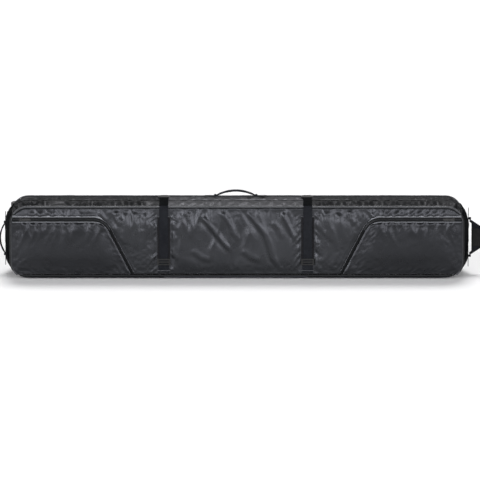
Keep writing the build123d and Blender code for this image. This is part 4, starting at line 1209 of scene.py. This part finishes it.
def strap_sleeve(name, x):
    """The wide backing under the strap, with a bound top edge and sides that pucker."""
    z, u = np.meshgrid(np.linspace(0.0772, 0.2718, 80), np.linspace(-1, 1, 17), indexing="ij")
    width = 0.0272
    half = width + 0.0009 * noise(z / 0.016, np.sign(u) * 3, 111)
    edge = smooth(1 - np.abs(u), 0, 0.30)
    open_part = smooth(np.abs(u) * width, 0.0192, 0.0215)  # beside the strap
    pucker = 0.5 + 0.5 * noise(z / 0.012, np.sign(u), 113)
    rise = open_part * (0.0010 * edge + 0.0011 * crest(0.2700 - z, 0.003) + 0.0008 * pucker)
    mesh = slab_grid(Mesh(), with_y(x + u * half, -0.1396 - rise, z), with_y(x + u * half, -0.1384, z))
    top = with_y(np.linspace(x - 0.0290, x + 0.0290, 30), -0.1398, 0.2732)
    # The bound top edge takes the lighter edge look: painted highlight.
    sweep(mesh, top, Y, Z, tube(0.0018, 8), look=1)
    obj = mesh.make(f"strap_{name}_sleeve", "lid", [sleeve, edge_highlight], "webbing")
    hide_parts(f"strap_{name}_backing")


for name, x in STRAPS.items():
    strap(name, x)
    strap_sleeve(name, x)


def strap_feet():
    """The folded webbing that ties each lock to the bottom edge."""
    mesh = Mesh()
    for x in STRAPS.values():
        z = np.linspace(0.0222, 0.0674, 60)
        roll = 0.5 - 0.5 * np.cos(np.clip((z - 0.030) / 0.034, 0, 1) * 2 * pi * 3)
        path = with_y(x + 0.0006 * np.sin(z * 200), -0.1392 - 0.0010 * roll, z)
        sweep(mesh, path, X, FRONT, band(0.0458, 0.0016))
        stitch_box(mesh, (x, -0.1401, 0.0262), X, Z, FRONT, 0.036, 0.005)
        edge = with_y(np.linspace(x - 0.0285, x + 0.0285, 30), -0.1402, 0.0370)
        # The bound edge takes the lighter edge look: painted highlight.
        sweep(mesh, edge, Y, Z, tube(0.0016, 8), look=2)
    obj = mesh.make("strap_feet", "lid", [webbing, thread, edge_highlight], "webbing")
    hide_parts("strap_anchors")


def strap_loops():
    """Webbing sewn to the base and folded round each ring's back bar."""
    mesh = Mesh()
    for x in STRAPS.values():
        angles = np.radians(np.linspace(60, 262, 16))
        height = np.maximum(0.3230 + 0.0030 * np.sin(angles), 0.3206)
        fold = with_y(x, 0.084 + 0.0030 * np.cos(angles), height)
        path = resample(np.concatenate([[(x, 0.111, 0.3222), (x, 0.095, 0.3232)], fold]), 0.0016)
        sweep(mesh, path, X, frames_along(path, X), band(0.0376, 0.0016))
        stitch_box(mesh, (x, 0.102, 0.3236), X, Y, Z, 0.028, 0.013)
    obj = mesh.make("strap_loops", "base", [webbing, thread], "webbing")
    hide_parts("strap_tabs")


def inner_bands():
    mesh = Mesh()
    for x in INNER_STRAPS:
        z = np.linspace(0.0245, 0.2955, 120)
        path = with_y(x + 0.0006 * noise(z / 0.05, 0, 121), 0.1169 - 0.0006 * noise(z / 0.04, 0, 123) ** 2, z)
        sweep(mesh, path, X, FRONT, band(0.0378, 0.0014))
        for end in (0.036, 0.284):
            stitch_box(mesh, (x, 0.1161, end), X, Z, FRONT, 0.028, 0.018)
    obj = mesh.make("inner_bands", "base", [webbing, thread], "webbing")
    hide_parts("inner_straps")


strap_feet()
strap_loops()
inner_bands()


# ---- handles
def grab(name, body, origin, along, rise_dir, span, rise, replaced):
    """A webbing loop on two pins, folded double and sewn in its middle."""
    origin, along, rise_dir = (np.asarray(v, float) for v in (origin, along, rise_dir))
    across = np.cross(rise_dir, along)
    radius = (span ** 2 / 4 + rise ** 2) / (2 * rise)
    half_angle = np.arcsin(span / 2 / radius)
    angle = np.linspace(-half_angle, half_angle, 90)
    out, up_by = radius * np.sin(angle), radius * np.cos(angle) - radius + rise
    path = origin + along * out[:, None] + rise_dir * up_by[:, None]
    up = along * np.sin(angle)[:, None] + rise_dir * np.cos(angle)[:, None]
    from_end = np.abs(np.abs(out) - span / 2)
    double = 1 - smooth(np.abs(out), span * 0.24, span * 0.27)
    width = 0.0060 + 0.0186 * smooth(from_end, 0.0008, 0.014) - 0.0022 * double
    thick = 0.0054 + 0.0012 * double
    profile = np.array([band(w, t) for w, t in zip(width, thick)])
    mesh = sweep(Mesh(), path, across, up, profile)
    for end in (-1, 1):
        pin = [origin + along * end * (span / 2 + reach) for reach in (-0.0035, 0.0, 0.0060, 0.0118, 0.0122)]
        sweep(mesh, pin, across, rise_dir, rod([0.0022, 0.0024, 0.0024, 0.0024, 0.0018]), 2)
    # Two rows of stitches.
    sewn = np.abs(out) < span * 0.235
    for row in (-0.0088, 0.0088):
        line = path[sewn] + up[sewn] * 0.0033 + across * row
        for a, b in zip(line, line[1:]):
            p, q = a * 0.85 + b * 0.15, a * 0.15 + b * 0.85
            sweep(mesh, [p, (p + q) / 2 + rise_dir * 0.0002, q], across, rise_dir, tube(0.0004, 5), 1)
    obj = mesh.make(name, body, [webbing, thread, coated_steel], "webbing")
    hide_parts(replaced)


grab("top_grab", "top_handle", (-0.005, 0.104, 0.3245), X, Z, 0.164, 0.020, "top_handle")
grab("end_grab", "end_handle", (-1.0045, 0.016, 0.152), Z, (-1, 0, 0), 0.127, 0.020, "end_handle")


# ---- floor, light and camera
# Brightness of the softboxes round the bag.
LEFT_BOX, RIGHT_BOX, MIDDLE_BOX, BACK_BOX, LOW_BACK = 6.3, 4.8, 2.6, 0.8, 0.10


def studio():
    scene = bpy.context.scene
    scene.view_settings.view_transform = "Standard"
    floor_mesh = bpy.data.meshes.new("floor")
    size = 60.0
    floor_mesh.from_pydata([(-size, -size, 0), (size, -size, 0), (size, size, 0), (-size, size, 0)],
                           [], [(0, 1, 2, 3)])
    paint = Look("floor_paint", (0.80, 0.80, 0.80), (0.796, 0.796, 0.796), (0.95, 0.97), 0.5,
                 Emission_Color=(1, 1, 1, 1), Emission_Strength=0.02, Specular_IOR_Level=0.0)
    floor_mesh.materials.append(paint.mat)
    floor = bpy.data.objects.new("floor", floor_mesh)
    scene.collection.objects.link(floor)

    world = bpy.data.worlds.new("studio")
    scene.world = world
    world.use_nodes = True
    tree = world.node_tree
    split = tree.nodes.new("ShaderNodeSeparateXYZ")
    tree.links.new(tree.nodes.new("ShaderNodeTexCoord").outputs["Generated"], split.inputs[0])

    def step(axis, low, high, start, end):
        """A smooth step of the world's brightness along one axis of the direction."""
        made = tree.nodes.new("ShaderNodeMapRange")
        made.interpolation_type = "SMOOTHSTEP"
        for key, value in (("From Min", low), ("From Max", high), ("To Min", start), ("To Max", end)):
            made.inputs[key].default_value = value
        tree.links.new(split.outputs[axis], made.inputs["Value"])
        return made.outputs["Result"]

    def combine(kind, first, second):
        made = tree.nodes.new("ShaderNodeMath")
        made.operation = kind
        tree.links.new(first, made.inputs[0])
        tree.links.new(second, made.inputs[1])
        return made.outputs[0]

    def product(first, *others):
        for other in others:
            first = combine("MULTIPLY", first, other)
        return first

    front = product(step("Y", -0.45, -0.20, 1.0, 0.0), step("Z", -0.03, 0.05, 0.0, 1.0),
                    step("Z", 0.36, 0.54, 1.0, 0.0))
    left = product(step("X", -0.90, -0.70, 0.0, LEFT_BOX), step("X", -0.36, -0.14, 1.0, 0.0), front)
    right = product(step("X", 0.90, 0.70, 0.0, RIGHT_BOX), step("X", 0.36, 0.16, 1.0, 0.0), front)
    middle = product(step("Z", 0.10, 0.24, 0.0, MIDDLE_BOX), front)
    back = product(step("Y", 0.30, 0.55, 0.0, BACK_BOX), step("Z", 0.34, 0.48, 0.0, 1.0),
                   step("Z", 0.66, 0.80, 1.0, 0.0), step("X", -0.70, -0.30, 0.0, 1.0),
                   step("X", 0.70, 0.30, 0.0, 1.0))
    low_back = product(step("Y", 0.30, 0.55, 0.0, LOW_BACK), step("Z", 0.34, 0.24, 0.0, 1.0))
    total = combine("ADD", step("Z", 0.10, 0.90, 0.06, 0.18), low_back)
    for part in (left, right, middle, back):
        total = combine("ADD", total, part)
    tree.links.new(total, tree.nodes["Background"].inputs["Strength"])
    tree.nodes["Background"].inputs["Color"].default_value = (1.0, 1.0, 1.02, 1)

    light = bpy.data.lights.new("over", "SUN")
    light.angle = radians(28)
    light.energy = 2.45
    lamp = bpy.data.objects.new("over", light)
    lamp.location = (0.1, 1.8, 3.0)
    lamp.rotation_euler = (-Vector(lamp.location)).to_track_quat("-Z", "Y").to_euler()
    scene.collection.objects.link(lamp)

    camera = bpy.data.cameras.new("camera")
    camera.lens = 520.0
    camera.sensor_width = 36.0
    camera.clip_end = 200.0
    eye = bpy.data.objects.new("camera", camera)
    target = Vector((0.0134, 0.0, 0.1455))
    tilt, distance = radians(10.5), 30.0
    eye.location = target + Vector((0, -cos(tilt), sin(tilt))) * distance
    eye.rotation_euler = (target - eye.location).to_track_quat("-Z", "Y").to_euler()
    scene.collection.objects.link(eye)
    scene.camera = eye


studio()
